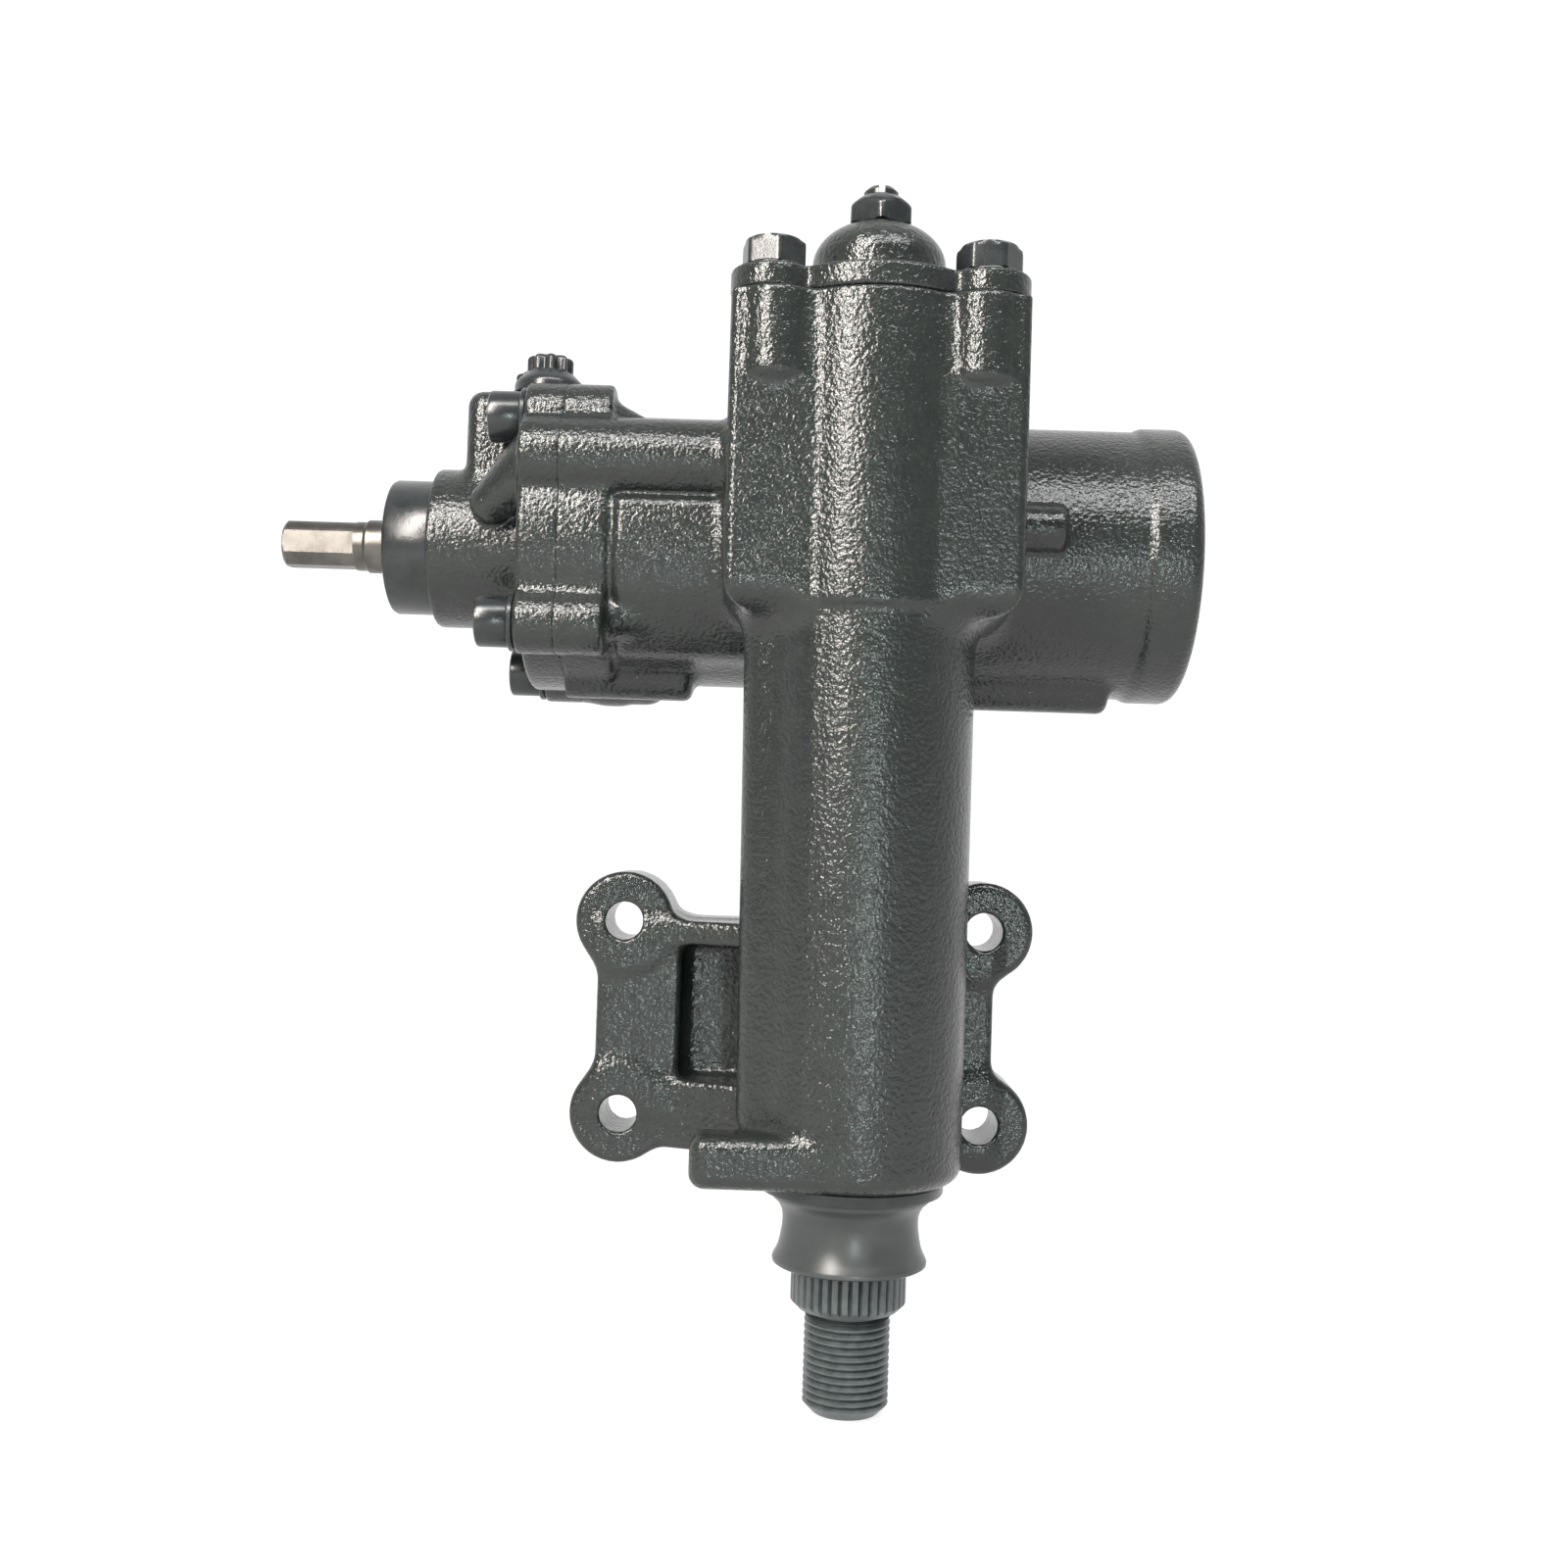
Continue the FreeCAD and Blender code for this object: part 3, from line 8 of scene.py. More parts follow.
import math
from functools import cache
import bpy
import numpy as np
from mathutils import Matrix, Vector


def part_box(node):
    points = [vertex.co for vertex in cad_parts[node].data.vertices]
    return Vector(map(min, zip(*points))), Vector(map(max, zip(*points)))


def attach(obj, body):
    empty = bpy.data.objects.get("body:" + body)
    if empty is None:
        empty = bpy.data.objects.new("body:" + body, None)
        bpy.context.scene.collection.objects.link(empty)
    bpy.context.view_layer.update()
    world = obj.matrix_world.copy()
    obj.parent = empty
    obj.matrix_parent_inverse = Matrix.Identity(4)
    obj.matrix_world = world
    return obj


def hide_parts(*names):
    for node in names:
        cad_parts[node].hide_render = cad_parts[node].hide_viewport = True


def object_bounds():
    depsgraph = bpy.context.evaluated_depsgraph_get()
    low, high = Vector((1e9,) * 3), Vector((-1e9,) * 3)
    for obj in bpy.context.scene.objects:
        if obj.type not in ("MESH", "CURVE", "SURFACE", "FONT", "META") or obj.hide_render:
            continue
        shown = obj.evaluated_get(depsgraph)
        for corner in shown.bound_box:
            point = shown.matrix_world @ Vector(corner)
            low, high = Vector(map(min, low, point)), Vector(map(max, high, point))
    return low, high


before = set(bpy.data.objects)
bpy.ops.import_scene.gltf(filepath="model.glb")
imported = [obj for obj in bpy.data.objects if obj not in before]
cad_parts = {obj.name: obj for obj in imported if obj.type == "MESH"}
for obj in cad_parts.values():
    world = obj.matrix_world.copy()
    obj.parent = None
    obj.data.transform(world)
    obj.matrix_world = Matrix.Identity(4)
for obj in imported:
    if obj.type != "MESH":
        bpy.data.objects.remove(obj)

import openvdb as vdb
from mathutils import Matrix, Vector

cad_bounds = [[float(v) for v in corner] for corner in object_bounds()]

MM = 0.001
TURN = 2 * math.pi


# ---------------------------------------------------------------- places read from the frame
def node_mm(name):
    """A CAD node's low and high corners, in millimetres."""
    return [[v / MM for v in corner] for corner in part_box(name)]


def middle(name, axis):
    """The middle of a CAD node along one axis, in millimetres."""
    low, high = node_mm(name)
    return (low[axis] + high[axis]) / 2


# The two axes, and the castings' seams and ends from the inner pieces that sit in them.
SECTOR_X = middle("lower_needle_bearing", 0)
SECTOR_Y = middle("lower_needle_bearing", 1)
WORM_Y = middle("worm_bearing_outer_race", 1)
WORM_Z = middle("worm_bearing_outer_race", 2)
COVER_SEAM = node_mm("sector_cover_seal")[1][2] + 3.1
FOOT = node_mm("sector_oil_seal")[0][2] - 4.5
JOINT_X = node_mm("valve_housing_seal")[0][0] - 4.2
CYLINDER_END = node_mm("gear_housing")[1][0]
MOUNT_FACE = 0.0  # the plate bolts on at y = 0 in the row frame
BOX_BOTTOM = node_mm("upper_needle_bearing")[1][2] - 1
COVER_TOP = COVER_SEAM + 6.8
SECTOR = (SECTOR_X, SECTOR_Y)
WORM = (WORM_Y, WORM_Z)
UP, LEFT, RIGHT = (0, 0, 1), (-1, 0, 0), (1, 0, 0)


# ---------------------------------------------------------------- solid fields
class Space:
    """A block of space sampled on a regular grid, whose methods give signed distances in mm."""

    def __init__(self, low, high, step):
        self.low, self.step = low, step
        counts = [int(math.ceil((b - a) / step)) + 1 for a, b in zip(low, high)]
        lines = [(a + step * np.arange(n)).astype(np.float32) for a, n in zip(low, counts)]
        self.axes = (lines[0][:, None, None], lines[1][None, :, None], lines[2][None, None, :])
        self.x, self.y, self.z = self.axes

    def box(self, low, high, edge):
        """A box with every edge rounded."""
        outside, inside = 0.0, None
        for line, a, b in zip(self.axes, low, high):
            gap = np.abs(line - (a + b) / 2) - ((b - a) / 2 - edge)
            outside = outside + np.maximum(gap, 0) ** 2
            inside = gap if inside is None else np.maximum(inside, gap)
        return np.sqrt(outside) + np.minimum(inside, 0) - edge

    def radial(self, axis, centre):
        """The distance from a line along an axis."""
        a, b = [line for i, line in enumerate(self.axes) if i != axis]
        return np.sqrt((a - centre[0]) ** 2 + (b - centre[1]) ** 2)

    def along(self, axis, low, high):
        """A slab between two places on an axis."""
        return np.abs(self.axes[axis] - (low + high) / 2) - (high - low) / 2

    def rod(self, axis, centre, radius, low, high, edge=0.0):
        """A cylinder with rounded rims."""
        return crossing(self.radial(axis, centre) - radius, self.along(axis, low, high), edge)

    def taper(self, axis, centre, radius_low, radius_high, low, high, edge):
        """A cone between two radii, with rounded rims."""
        slope = (radius_high - radius_low) / (high - low)
        wall = self.radial(axis, centre) - radius_low - slope * (self.axes[axis] - low)
        return crossing(wall / math.sqrt(1 + slope * slope), self.along(axis, low, high), edge)

    def bone(self, first, last, radius_first, radius_last):
        """A tapering bar with round ends between two points."""
        run = [b - a for a, b in zip(first, last)]
        length_square = sum(v * v for v in run)
        share = sum((line - a) * v for line, a, v in zip(self.axes, first, run)) / length_square
        share = np.clip(share, 0, 1)
        away = sum((line - a - share * v) ** 2 for line, a, v in zip(self.axes, first, run))
        return np.sqrt(away) - (radius_first + (radius_last - radius_first) * share)

    def half(self, point, normal):
        """The side of a plane that its normal points away from."""
        size = math.sqrt(sum(v * v for v in normal))
        return sum((line - p) * (n / size) for line, p, n in zip(self.axes, point, normal))


def crossing(a, b, edge=0.0):
    """The part inside both, with a rounded edge where they meet."""
    if edge <= 0:
        return np.maximum(a, b)
    a, b = a + edge, b + edge
    corner = np.sqrt(np.maximum(a, 0) ** 2 + np.maximum(b, 0) ** 2)
    return np.minimum(np.maximum(a, b), 0) + corner - edge


def blended(a, b, fillet):
    """The union of two fields with a fillet in the corner between them."""
    if fillet <= 0:
        return np.minimum(a, b)
    share = np.maximum(fillet - np.abs(a - b), 0) / fillet
    return np.minimum(a, b) - share * share * fillet / 4


def carved(a, b, fillet=0.0):
    """The first field without the second."""
    return -blended(-a, b, fillet)


def field_mesh(name, space, field):
    """The zero surface of a field as a mesh object."""
    band = 3 * space.step
    grid = vdb.FloatGrid(band)
    grid.copyFromArray(np.ascontiguousarray(np.clip(field, -band, band).astype(np.float32)))
    points, quads = grid.convertToQuads(0.0)
    points = (points * space.step + np.array(space.low)) * MM
    faces = quads[:, ::-1]
    mesh = bpy.data.meshes.new(name)
    mesh.vertices.add(len(points))
    mesh.vertices.foreach_set("co", points.astype(np.float32).ravel())
    mesh.loops.add(faces.size)
    mesh.loops.foreach_set("vertex_index", faces.astype(np.int32).ravel())
    mesh.polygons.add(len(faces))
    mesh.polygons.foreach_set("loop_start", np.arange(0, faces.size, 4, dtype=np.int32))
    mesh.polygons.foreach_set("loop_total", np.full(len(faces), 4, dtype=np.int32))
    mesh.update(calc_edges=True)
    mesh.validate()
    face_outward(mesh)
    mesh.shade_smooth()
    thing = bpy.data.objects.new(name, mesh)
    bpy.context.scene.collection.objects.link(thing)
    return thing


def face_outward(mesh):
    """Flips every face if the mesh's signed volume is negative."""
    mesh.calc_loop_triangles()
    corners = np.empty(len(mesh.loop_triangles) * 3, dtype=np.int32)
    mesh.loop_triangles.foreach_get("vertices", corners)
    points = np.empty(len(mesh.vertices) * 3, dtype=np.float32)
    mesh.vertices.foreach_get("co", points)
    a, b, c = points.reshape(-1, 3)[corners.reshape(-1, 3)].transpose(1, 0, 2).astype(np.float64)
    if np.einsum("ij,ij->i", a, np.cross(b, c)).sum() < 0:
        mesh.flip_normals()


# ---------------------------------------------------------------- lathed pieces
SHARP_ANGLE = math.radians(38)
ROUNDED_CORNER = 0.985  # a hexagon's corner as a share of a sharp one


def lathe(name, outline, origin, direction, segments, shape=None):
    """A turned piece: (radius, position) pairs along a direction from an origin.

    shape(angle, radius, position) may change each point's radius, which makes hexagons and
    scallops. A zero radius at both ends closes the piece there, and otherwise it is a ring.
    """
    turn = Vector(UP).rotation_difference(Vector(direction)).to_matrix()
    base = Vector(origin)
    points, faces, rings = [], [], []
    for radius, position in outline:
        if radius <= 0:
            rings.append([len(points)])
            points.append(base + turn @ Vector((0, 0, position)))
            continue
        ring = []
        for step in range(segments):
            angle = TURN * step / segments
            reach = shape(angle, radius, position) if shape else radius
            rim = Vector((reach * math.cos(angle), reach * math.sin(angle), position))
            ring.append(len(points))
            points.append(base + turn @ rim)
        rings.append(ring)
    pairs = list(zip(rings, rings[1:]))
    if len(rings[0]) > 1 and len(rings[-1]) > 1:
        pairs.append((rings[-1], rings[0]))
    for first, last in pairs:
        for step in range(segments):
            after = (step + 1) % segments
            if len(first) > 1 and len(last) > 1:
                faces.append((first[step], first[after], last[after], last[step]))
            elif len(first) > 1:
                faces.append((first[step], first[after], last[0]))
            elif len(last) > 1:
                faces.append((first[0], last[after], last[step]))
    mesh = bpy.data.meshes.new(name)
    mesh.from_pydata([p * MM for p in points], [], faces)
    mesh.update()
    face_outward(mesh)
    mesh.shade_smooth()
    mesh.set_sharp_from_angle(angle=SHARP_ANGLE)
    thing = bpy.data.objects.new(name, mesh)
    bpy.context.scene.collection.objects.link(thing)
    return thing


def joined(name, things):
    """Several mesh objects as one."""
    first = things[0]
    if len(things) > 1:
        with bpy.context.temp_override(
            active_object=first,
            object=first,
            selected_objects=things,
            selected_editable_objects=things,
        ):
            bpy.ops.object.join()
    first.name = name
    first.data.name = name
    return first


def hexagon(flat, corner_angle):
    """A shaping rule that keeps a turned piece inside a hexagon, given the width over its flats."""
    corner = flat / 2 / math.cos(TURN / 12) * ROUNDED_CORNER

    def shape(angle, radius, position):
        part = (angle - corner_angle + TURN / 12) % (TURN / 6) - TURN / 12
        reach = flat / 2 / math.cos(TURN / 12 - abs(part))
        return min(radius, reach, corner)

    return shape


# ---------------------------------------------------------------- sizes of the castings
FINE = 0.8  # the grid's step
FAR = 900  # beyond everything here
PAST = 9  # how far a body or a cut runs past the face that ends it
JOINT_LAP = 0.3  # how far each half of the flanged joint reaches over its seam

# Radii of the tower's shank, its half-round front and the bosses under the cover bolts.
SHANK, BULGE, BOSS, FRONT_BOSS = 30.2, 31.5, 12.2, 11.3
# The tower's square part: half its width, and its flat front's distance from the sector's axis.
BOX_HALF, BOX_FRONT = 40.5, 27.2
# The cover bolts, as (x, y) from the sector's axis.
COVER_BOLTS = [(side * 29.5, row) for side in (-1, 1) for row in (-16.5, 31.0)]
# The power cylinder's radii, its collar's length, and how far its skin lies above the worm's axis.
BARREL, COLLAR, COLLAR_LONG, AXIS_LIFT = 41.8, 42.9, 17.2, 0.8
# The front ridge's radius, and its place in front of the worm's axis and above it.
RIDGE, RIDGE_OUT, RIDGE_UP = 12.2, 34.5, 22.3
# The flanged joint: a disc with four lobes on a circle, and its two outer faces.
LOBE_CIRCLE, LOBE_RADIUS, UPPER_LOBE_RADIUS, FLANGE_RADIUS = 44.9, 9.4, 10.3, 43.6
LOBE_ANGLES = [math.radians(37 + 90 * k) for k in range(4)]
FLANGE_LEFT, FLANGE_RIGHT = JOINT_X - 12.1, JOINT_X + 14.3
# The valve housing's neck: its radius, and where the adjusting plug takes over.
NECK, NECK_END = 24.8, JOINT_X - 42.8
# The mounting plate: the holes' spacing and radius, and the ears' radius and thickness.
MOUNT_WIDE, MOUNT_HIGH, MOUNT_HOLE, EAR_RADIUS, EAR_THICK = 105.0, 56.0, 5.5, 14.3, 26.5
PLATE_BACK, PLATE_LOW = MOUNT_FACE + 5, -37.5
# Radii of the sector cover's disc and bosses, and the bell's radius and height.
COVER_DISC, COVER_BOSS, BELL, BELL_RISE = 31.3, 11.6, 18.9, 12.45


def around_worm(out, turn):
    """A place at a distance and an angle from the worm's axis, as (y, z)."""
    return (WORM_Y + out * math.cos(turn), WORM_Z + out * math.sin(turn))


def lobe_places():
    """The centres of the flanged joint's lobes, where its screws sit, as (y, z)."""
    return [around_worm(LOBE_CIRCLE, turn) for turn in LOBE_ANGLES]


def cover_bolt_places():
    """The axes of the cover bolts, as (x, y)."""
    return [(SECTOR_X + out_x, SECTOR_Y + out_y) for out_x, out_y in COVER_BOLTS]


def mount_hole_places():
    """The axes of the plate's holes, as (x, z)."""
    return [
        (side * MOUNT_WIDE / 2, level * MOUNT_HIGH / 2) for side in (-1, 1) for level in (-1, 1)
    ]


def port_places():
    """Where the front and rear port stand, read from the plugs' washers: they are staggered."""
    low, high = node_mm("port_plug_washers")
    reach = 9.6
    return [(high[0] - reach, low[1] + reach, high[2]), (low[0] + reach, high[1] - reach, high[2])]


# ---------------------------------------------------------------- castings
def lobed_flange(space, low, high, edge):
    """The outline shared by both halves of the flanged joint, between two positions along X."""
    outline = space.radial(0, WORM) - FLANGE_RADIUS
    for centre in lobe_places():
        reach = UPPER_LOBE_RADIUS if centre[1] > WORM_Z else LOBE_RADIUS
        outline = blended(outline, space.radial(0, centre) - reach, 4.0)
    return crossing(outline, space.along(0, low, high), edge)


def front_ridge(space, low, high, edge):
    """The rounded ridge high on the cylinder's front, which both castings share."""
    return space.rod(0, (WORM_Y - RIDGE_OUT, WORM_Z + RIDGE_UP), RIDGE, low, high, edge)


def tower(space):
    """The sector tower: round below, square above, with a half-round front and bolt bosses."""
    ceiling = COVER_SEAM + PAST
    solid = space.rod(2, SECTOR, SHANK, FOOT, COVER_SEAM - 10, 5.0)
    left, right, front = SECTOR_X - BOX_HALF, SECTOR_X + BOX_HALF, SECTOR_Y - BOX_FRONT
    plan = space.box((left, front, -FAR), (right, WORM_Y + 3, FAR), 2.8)
    solid = blended(solid, crossing(plan, BOX_BOTTOM - 3 - space.z, 9.0), 8.0)
    flat_front = np.minimum(front - space.y, space.radial(2, SECTOR) - SHANK)
    solid = crossing(solid, flat_front, 0.6)
    bulge = space.rod(2, SECTOR, BULGE, BOX_BOTTOM - 1.5, COVER_SEAM + 14, 1.6)
    solid = blended(solid, bulge, 1.0)
    for out_x, out_y in COVER_BOLTS:
        place, reach = (SECTOR_X + out_x, SECTOR_Y + out_y), BOSS
        if out_y < 0:
            place, reach = (SECTOR_X + 0.96 * out_x, SECTOR_Y + out_y - 2.3), FRONT_BOSS
        boss = space.rod(2, place, reach, COVER_SEAM - 24, ceiling, 1.8)
        skirt = space.taper(2, place, 4.0, reach - 0.3, COVER_SEAM - 38, COVER_SEAM - 21, 2.0)
        solid = blended(solid, blended(boss, skirt, 2.0), 1.2)
    for side in (-1, 1):
        place = (SECTOR_X + side * 18.6, SECTOR_Y - 29.0)
        crease = space.bone((*place, ceiling), (*place, COVER_SEAM - 29), 2.6, 0.6)
        solid = carved(solid, crease, 1.6)
    rib_low = (SECTOR_X - 26.2, SECTOR_Y - 9, FOOT + 18)
    rib_high = (SECTOR_X - 28.8, SECTOR_Y - 9, BOX_BOTTOM)
    return blended(solid, space.bone(rib_low, rib_high, 5.6, 5.6), 8.0)


def power_cylinder(space):
    """The horizontal cylinder with its collar, front ridge, panel, stub, rail and joint flange."""
    axis = (WORM_Y, WORM_Z + AXIS_LIFT)
    solid = space.rod(0, axis, BARREL, JOINT_X + 2, CYLINDER_END, 6.0)
    collar = space.rod(0, axis, COLLAR, CYLINDER_END - COLLAR_LONG, CYLINDER_END, 4.0)
    solid = blended(solid, collar, 0.5)
    ridge_end = SECTOR_X - 30
    below_ridge = space.box(
        (JOINT_X + 12, WORM_Y - 60, WORM_Z + 10.5), (ridge_end, WORM_Y - 38.5, WORM_Z + 24), 1.5
    )
    solid = carved(solid, below_ridge, 1.0)
    solid = blended(solid, front_ridge(space, JOINT_X - 5, ridge_end, 1.0), 1.5)
    panel = space.box(
        (JOINT_X + 16.5, WORM_Y - 44.4, WORM_Z - 36), (SECTOR_X - 34, WORM_Y, WORM_Z + 10.0), 2.5
    )
    panel = crossing(panel, space.radial(0, axis) - 45.4, 3.0)
    solid = blended(solid, panel, 2.5)
    stub = space.rod(0, (WORM_Y - 41.0, WORM_Z + 4.2), 7.0, SECTOR_X + 30, SECTOR_X + 57, 1.5)
    solid = blended(solid, stub, 1.5)
    rail = (WORM_Y - 8, WORM_Z - 40.6)
    for low, high in ((JOINT_X - 9, JOINT_X + 39), (SECTOR_X + 10, CYLINDER_END - 22)):
        solid = blended(solid, space.rod(0, rail, 6.0, low, high, 3.0), 4.0)
    solid = blended(solid, lobed_flange(space, JOINT_X - 5, FLANGE_RIGHT, 1.4), 3.0)
    for turn in LOBE_ANGLES:
        lower_rear = math.sin(turn) < 0 < math.cos(turn)
        out, run, near_thick, far_thick = (46, 21, 8.8, 8.6) if lower_rear else (38, 29, 6.5, 4.0)
        near, far = (JOINT_X + 9, *around_worm(46, turn)), (JOINT_X + run, *around_worm(out, turn))
        solid = blended(solid, space.bone(near, far, near_thick, far_thick), 3.0)
    return solid


def mounting_plate(space):
    """The rear plate with four thick ears, two ribs on its open side and a pocket between them."""
    half_wide, half_high = MOUNT_WIDE / 2, MOUNT_HIGH / 2
    front = MOUNT_FACE - EAR_THICK
    boxes = (
        ((-half_wide + 2, -14, -half_high), (SECTOR_X, PLATE_BACK, half_high), 1.5, 0.0),
        ((-half_wide - 7.4, front, -half_high), (-half_wide + 17, PLATE_BACK, half_high), 1.8, 5.0),
        ((SECTOR_X - 8, front, PLATE_LOW), (half_wide + 3.2, PLATE_BACK, half_high + 2), 1.8, 2.0),
    )
    solid = FAR  # nothing yet
    for low, high, edge, fillet in boxes:
        solid = blended(solid, space.box(low, high, edge), fillet)
    for centre in mount_hole_places():
        solid = blended(solid, space.rod(1, centre, EAR_RADIUS, front, PLATE_BACK, 1.8), 5.0)
    lean = space.half((-half_wide + 14, front, 0), (-0.36, -1, 0))
    ribs = (
        ((-half_wide, -45, PLATE_LOW), (SECTOR_X, PLATE_BACK, -17.5), 3.0, 3.0),
        ((-half_wide + 4, -45, 21.6), (SECTOR_X, PLATE_BACK, 28.6), 2.5, 3.5),
    )
    for low, high, edge, fillet in ribs:
        solid = blended(solid, crossing(space.box(low, high, edge), lean, 1.5), fillet)
    return solid


def stop_lug(space):
    """The flat-faced lug at the foot."""
    front = SECTOR_Y - 28
    return space.box(
        (SECTOR_X - 44.2, front, FOOT + 0.2), (SECTOR_X - 8, front + 16, FOOT + 14.6), 4.2
    )


def gear_housing():
    """The main casting, with its bores and bolt holes."""
    space = Space((-79, -80, -46), (CYLINDER_END + 3, 58, COVER_SEAM + 3), FINE)
    solid = tower(space)
    solid = blended(solid, power_cylinder(space), 6.0)
    solid = blended(solid, crossing(mounting_plate(space), space.y - MOUNT_FACE, 0.6), 5.0)
    solid = blended(solid, stop_lug(space), 3.0)
    solid = crossing(solid, space.z - COVER_SEAM, 0.25)
    solid = crossing(solid, JOINT_X - JOINT_LAP - space.x, 0.2)
    hollow = space.rod(0, WORM, 34.0, JOINT_X - PAST, SECTOR_X + 93.5)
    floor_level, ceiling = BOX_BOTTOM + 2.7, COVER_SEAM + PAST
    chamber = crossing(space.rod(2, SECTOR, 33.0, floor_level, ceiling), SECTOR_Y - 8 - space.y)
    hollow = np.minimum(hollow, chamber)
    bores = (
        (25.2, floor_level, ceiling),
        (23.5, FOOT - PAST, FOOT + 12),
        (21.5, FOOT + 11, FOOT + 38),
        (18.3, FOOT + 37, BOX_BOTTOM - 23),
        (21.5, BOX_BOTTOM - 24, BOX_BOTTOM + PAST),
    )
    for radius, low, high in bores:
        hollow = np.minimum(hollow, space.rod(2, SECTOR, radius, low, high))
    for centre in mount_hole_places():
        hollow = np.minimum(hollow, space.rod(1, centre, MOUNT_HOLE, -60, MOUNT_FACE + PAST))
    for place in cover_bolt_places():
        hollow = np.minimum(hollow, space.rod(2, place, 5.0, COVER_SEAM - 25, ceiling))
    for centre in lobe_places():
        hollow = np.minimum(hollow, space.rod(0, centre, 4.5, JOINT_X - PAST, JOINT_X + 13.3))
    piece = field_mesh("gear_housing_casting", space, carved(solid, hollow))
    dress(piece, "housing", "painted_casting", cast_paint, "gear_housing")


def valve_housing():
    """The casting at the input end: its half of the flange, the neck, port block and gusset."""
    space = Space((-122, -52, 84), (JOINT_X + 15, 68, 193), FINE)
    solid = lobed_flange(space, FLANGE_LEFT, JOINT_X + 5, 1.6)
    solid = blended(solid, space.rod(0, WORM, NECK, NECK_END, JOINT_X, 1.2), 5.0)
    solid = blended(solid, front_ridge(space, FLANGE_LEFT, JOINT_X + 5, 1.6), 1.5)
    block_low = (JOINT_X - 33.3, WORM_Y - 17, WORM_Z)
    block_high = (JOINT_X - JOINT_LAP, WORM_Y + 17, WORM_Z + 47.3)
    solid = blended(solid, space.box(block_low, block_high, 5.0), 4.0)
    gusset_top = (JOINT_X - 8, WORM_Y - 31, WORM_Z + 21)
    gusset_foot = (JOINT_X - 22.5, WORM_Y - 28, WORM_Z + 9.5)
    solid = blended(solid, space.bone(gusset_top, gusset_foot, 10.5, 6.2), 2.0)
    solid = crossing(solid, space.x - JOINT_X - JOINT_LAP, 0.2)
    spigot = space.rod(0, WORM, 33.9, JOINT_X - 2, JOINT_X + 12.7, 0.5)
    solid = np.minimum(solid, spigot)
    hollow = space.rod(0, WORM, 18.6, JOINT_X - 41, JOINT_X + 14)
    for radius, low, high in ((20.05, -44, -39.8), (20.5, -9.3, 2), (26.0, 1.7, 14)):
        hollow = np.minimum(hollow, space.rod(0, WORM, radius, JOINT_X + low, JOINT_X + high))
    for place in port_places():
        hollow = np.minimum(hollow, space.rod(2, place[:2], 6.0, WORM_Z + 23, WORM_Z + 49))
    for centre in lobe_places():
        hollow = np.minimum(hollow, space.rod(0, centre, 5.0, JOINT_X - 14, JOINT_X + 2))
    piece = field_mesh("valve_housing_casting", space, carved(solid, hollow))
    dress(piece, "housing", "painted_casting", cast_paint, "valve_housing")


def sector_cover():
    """The cover: a flange that follows the tower's top, and the bell over the adjuster."""
    cover_low, cover_high = node_mm("sector_cover")
    dome_top = cover_high[2]
    low = (SECTOR_X - 44, SECTOR_Y - 34, COVER_SEAM - 42)
    space = Space(low, (SECTOR_X + 44, SECTOR_Y + 46, dome_top + 3), FINE * 0.75)
    plan = space.radial(2, SECTOR) - COVER_DISC
    for wide, front, back in ((BOX_HALF - 5, 22.5, 36), (BOX_HALF - 1, 16, 31)):
        web = space.box(
            (SECTOR_X - wide, SECTOR_Y - front, -FAR), (SECTOR_X + wide, SECTOR_Y + back, FAR), 2.0
        )
        plan = blended(plan, web, 2.0)
    for place in cover_bolt_places():
        plan = blended(plan, space.radial(2, place) - COVER_BOSS, 2.0)
    solid = crossing(plan, space.along(2, COVER_SEAM, COVER_TOP), 0.9)
    lift = np.maximum(space.z - (dome_top - 11.1), 0) / BELL_RISE
    bell = (np.sqrt((space.radial(2, SECTOR) / BELL) ** 2 + lift**2) - 1) * BELL_RISE
    bell = crossing(bell, space.along(2, COVER_SEAM - 30, dome_top), 0.8)
    solid = blended(solid, bell, 4.0)
    solid = np.minimum(solid, space.rod(2, SECTOR, 25.0, cover_low[2], COVER_SEAM + 2, 0.8))
    for radius, start, stop in ((16.0, -60, 1), (13.4, 0, 11), (5.0, 0, 60)):
        bore = space.rod(2, SECTOR, radius, COVER_SEAM + start, COVER_SEAM + stop)
        solid = carved(solid, bore)
    for place in cover_bolt_places():
        solid = carved(solid, space.rod(2, place, 5.5, COVER_SEAM - 4, COVER_SEAM + 12))
    piece = field_mesh("sector_cover_casting", space, solid)
    dress(piece, "housing", "painted_casting", cast_paint, "sector_cover")


# ---------------------------------------------------------------- turned pieces
def cover_bolts():
    """Hexagon bolts with a collar and a domed head."""
    shank = [
        (0, -30), (4.2, -30), (4.95, -29), (4.95, 0), (8.6, 0), (8.75, 0.35), (8.6, 1.2),
        (8.4, 1.4), (0, 1.4),
    ]
    head = [
        (0, 1.2), (9.6, 1.2), (9.6, 6.6), (8.9, 7.6), (7.9, 8.4), (6.9, 8.8), (6.2, 8.9), (0, 8.9),
    ]
    bolts = []
    for index, place in enumerate(cover_bolt_places()):
        place = (*place, COVER_TOP)
        bolts.append(lathe("shank", shank, place, UP, 48))
        corner = math.radians(-78 + 5 * (index % 3))
        bolts.append(lathe("head", head, place, UP, 96, hexagon(16.0, corner)))
    piece = joined("sector_cover_bolt_set", bolts)
    dress(piece, "housing", "painted_machined", satin_paint, "sector_cover_bolts")


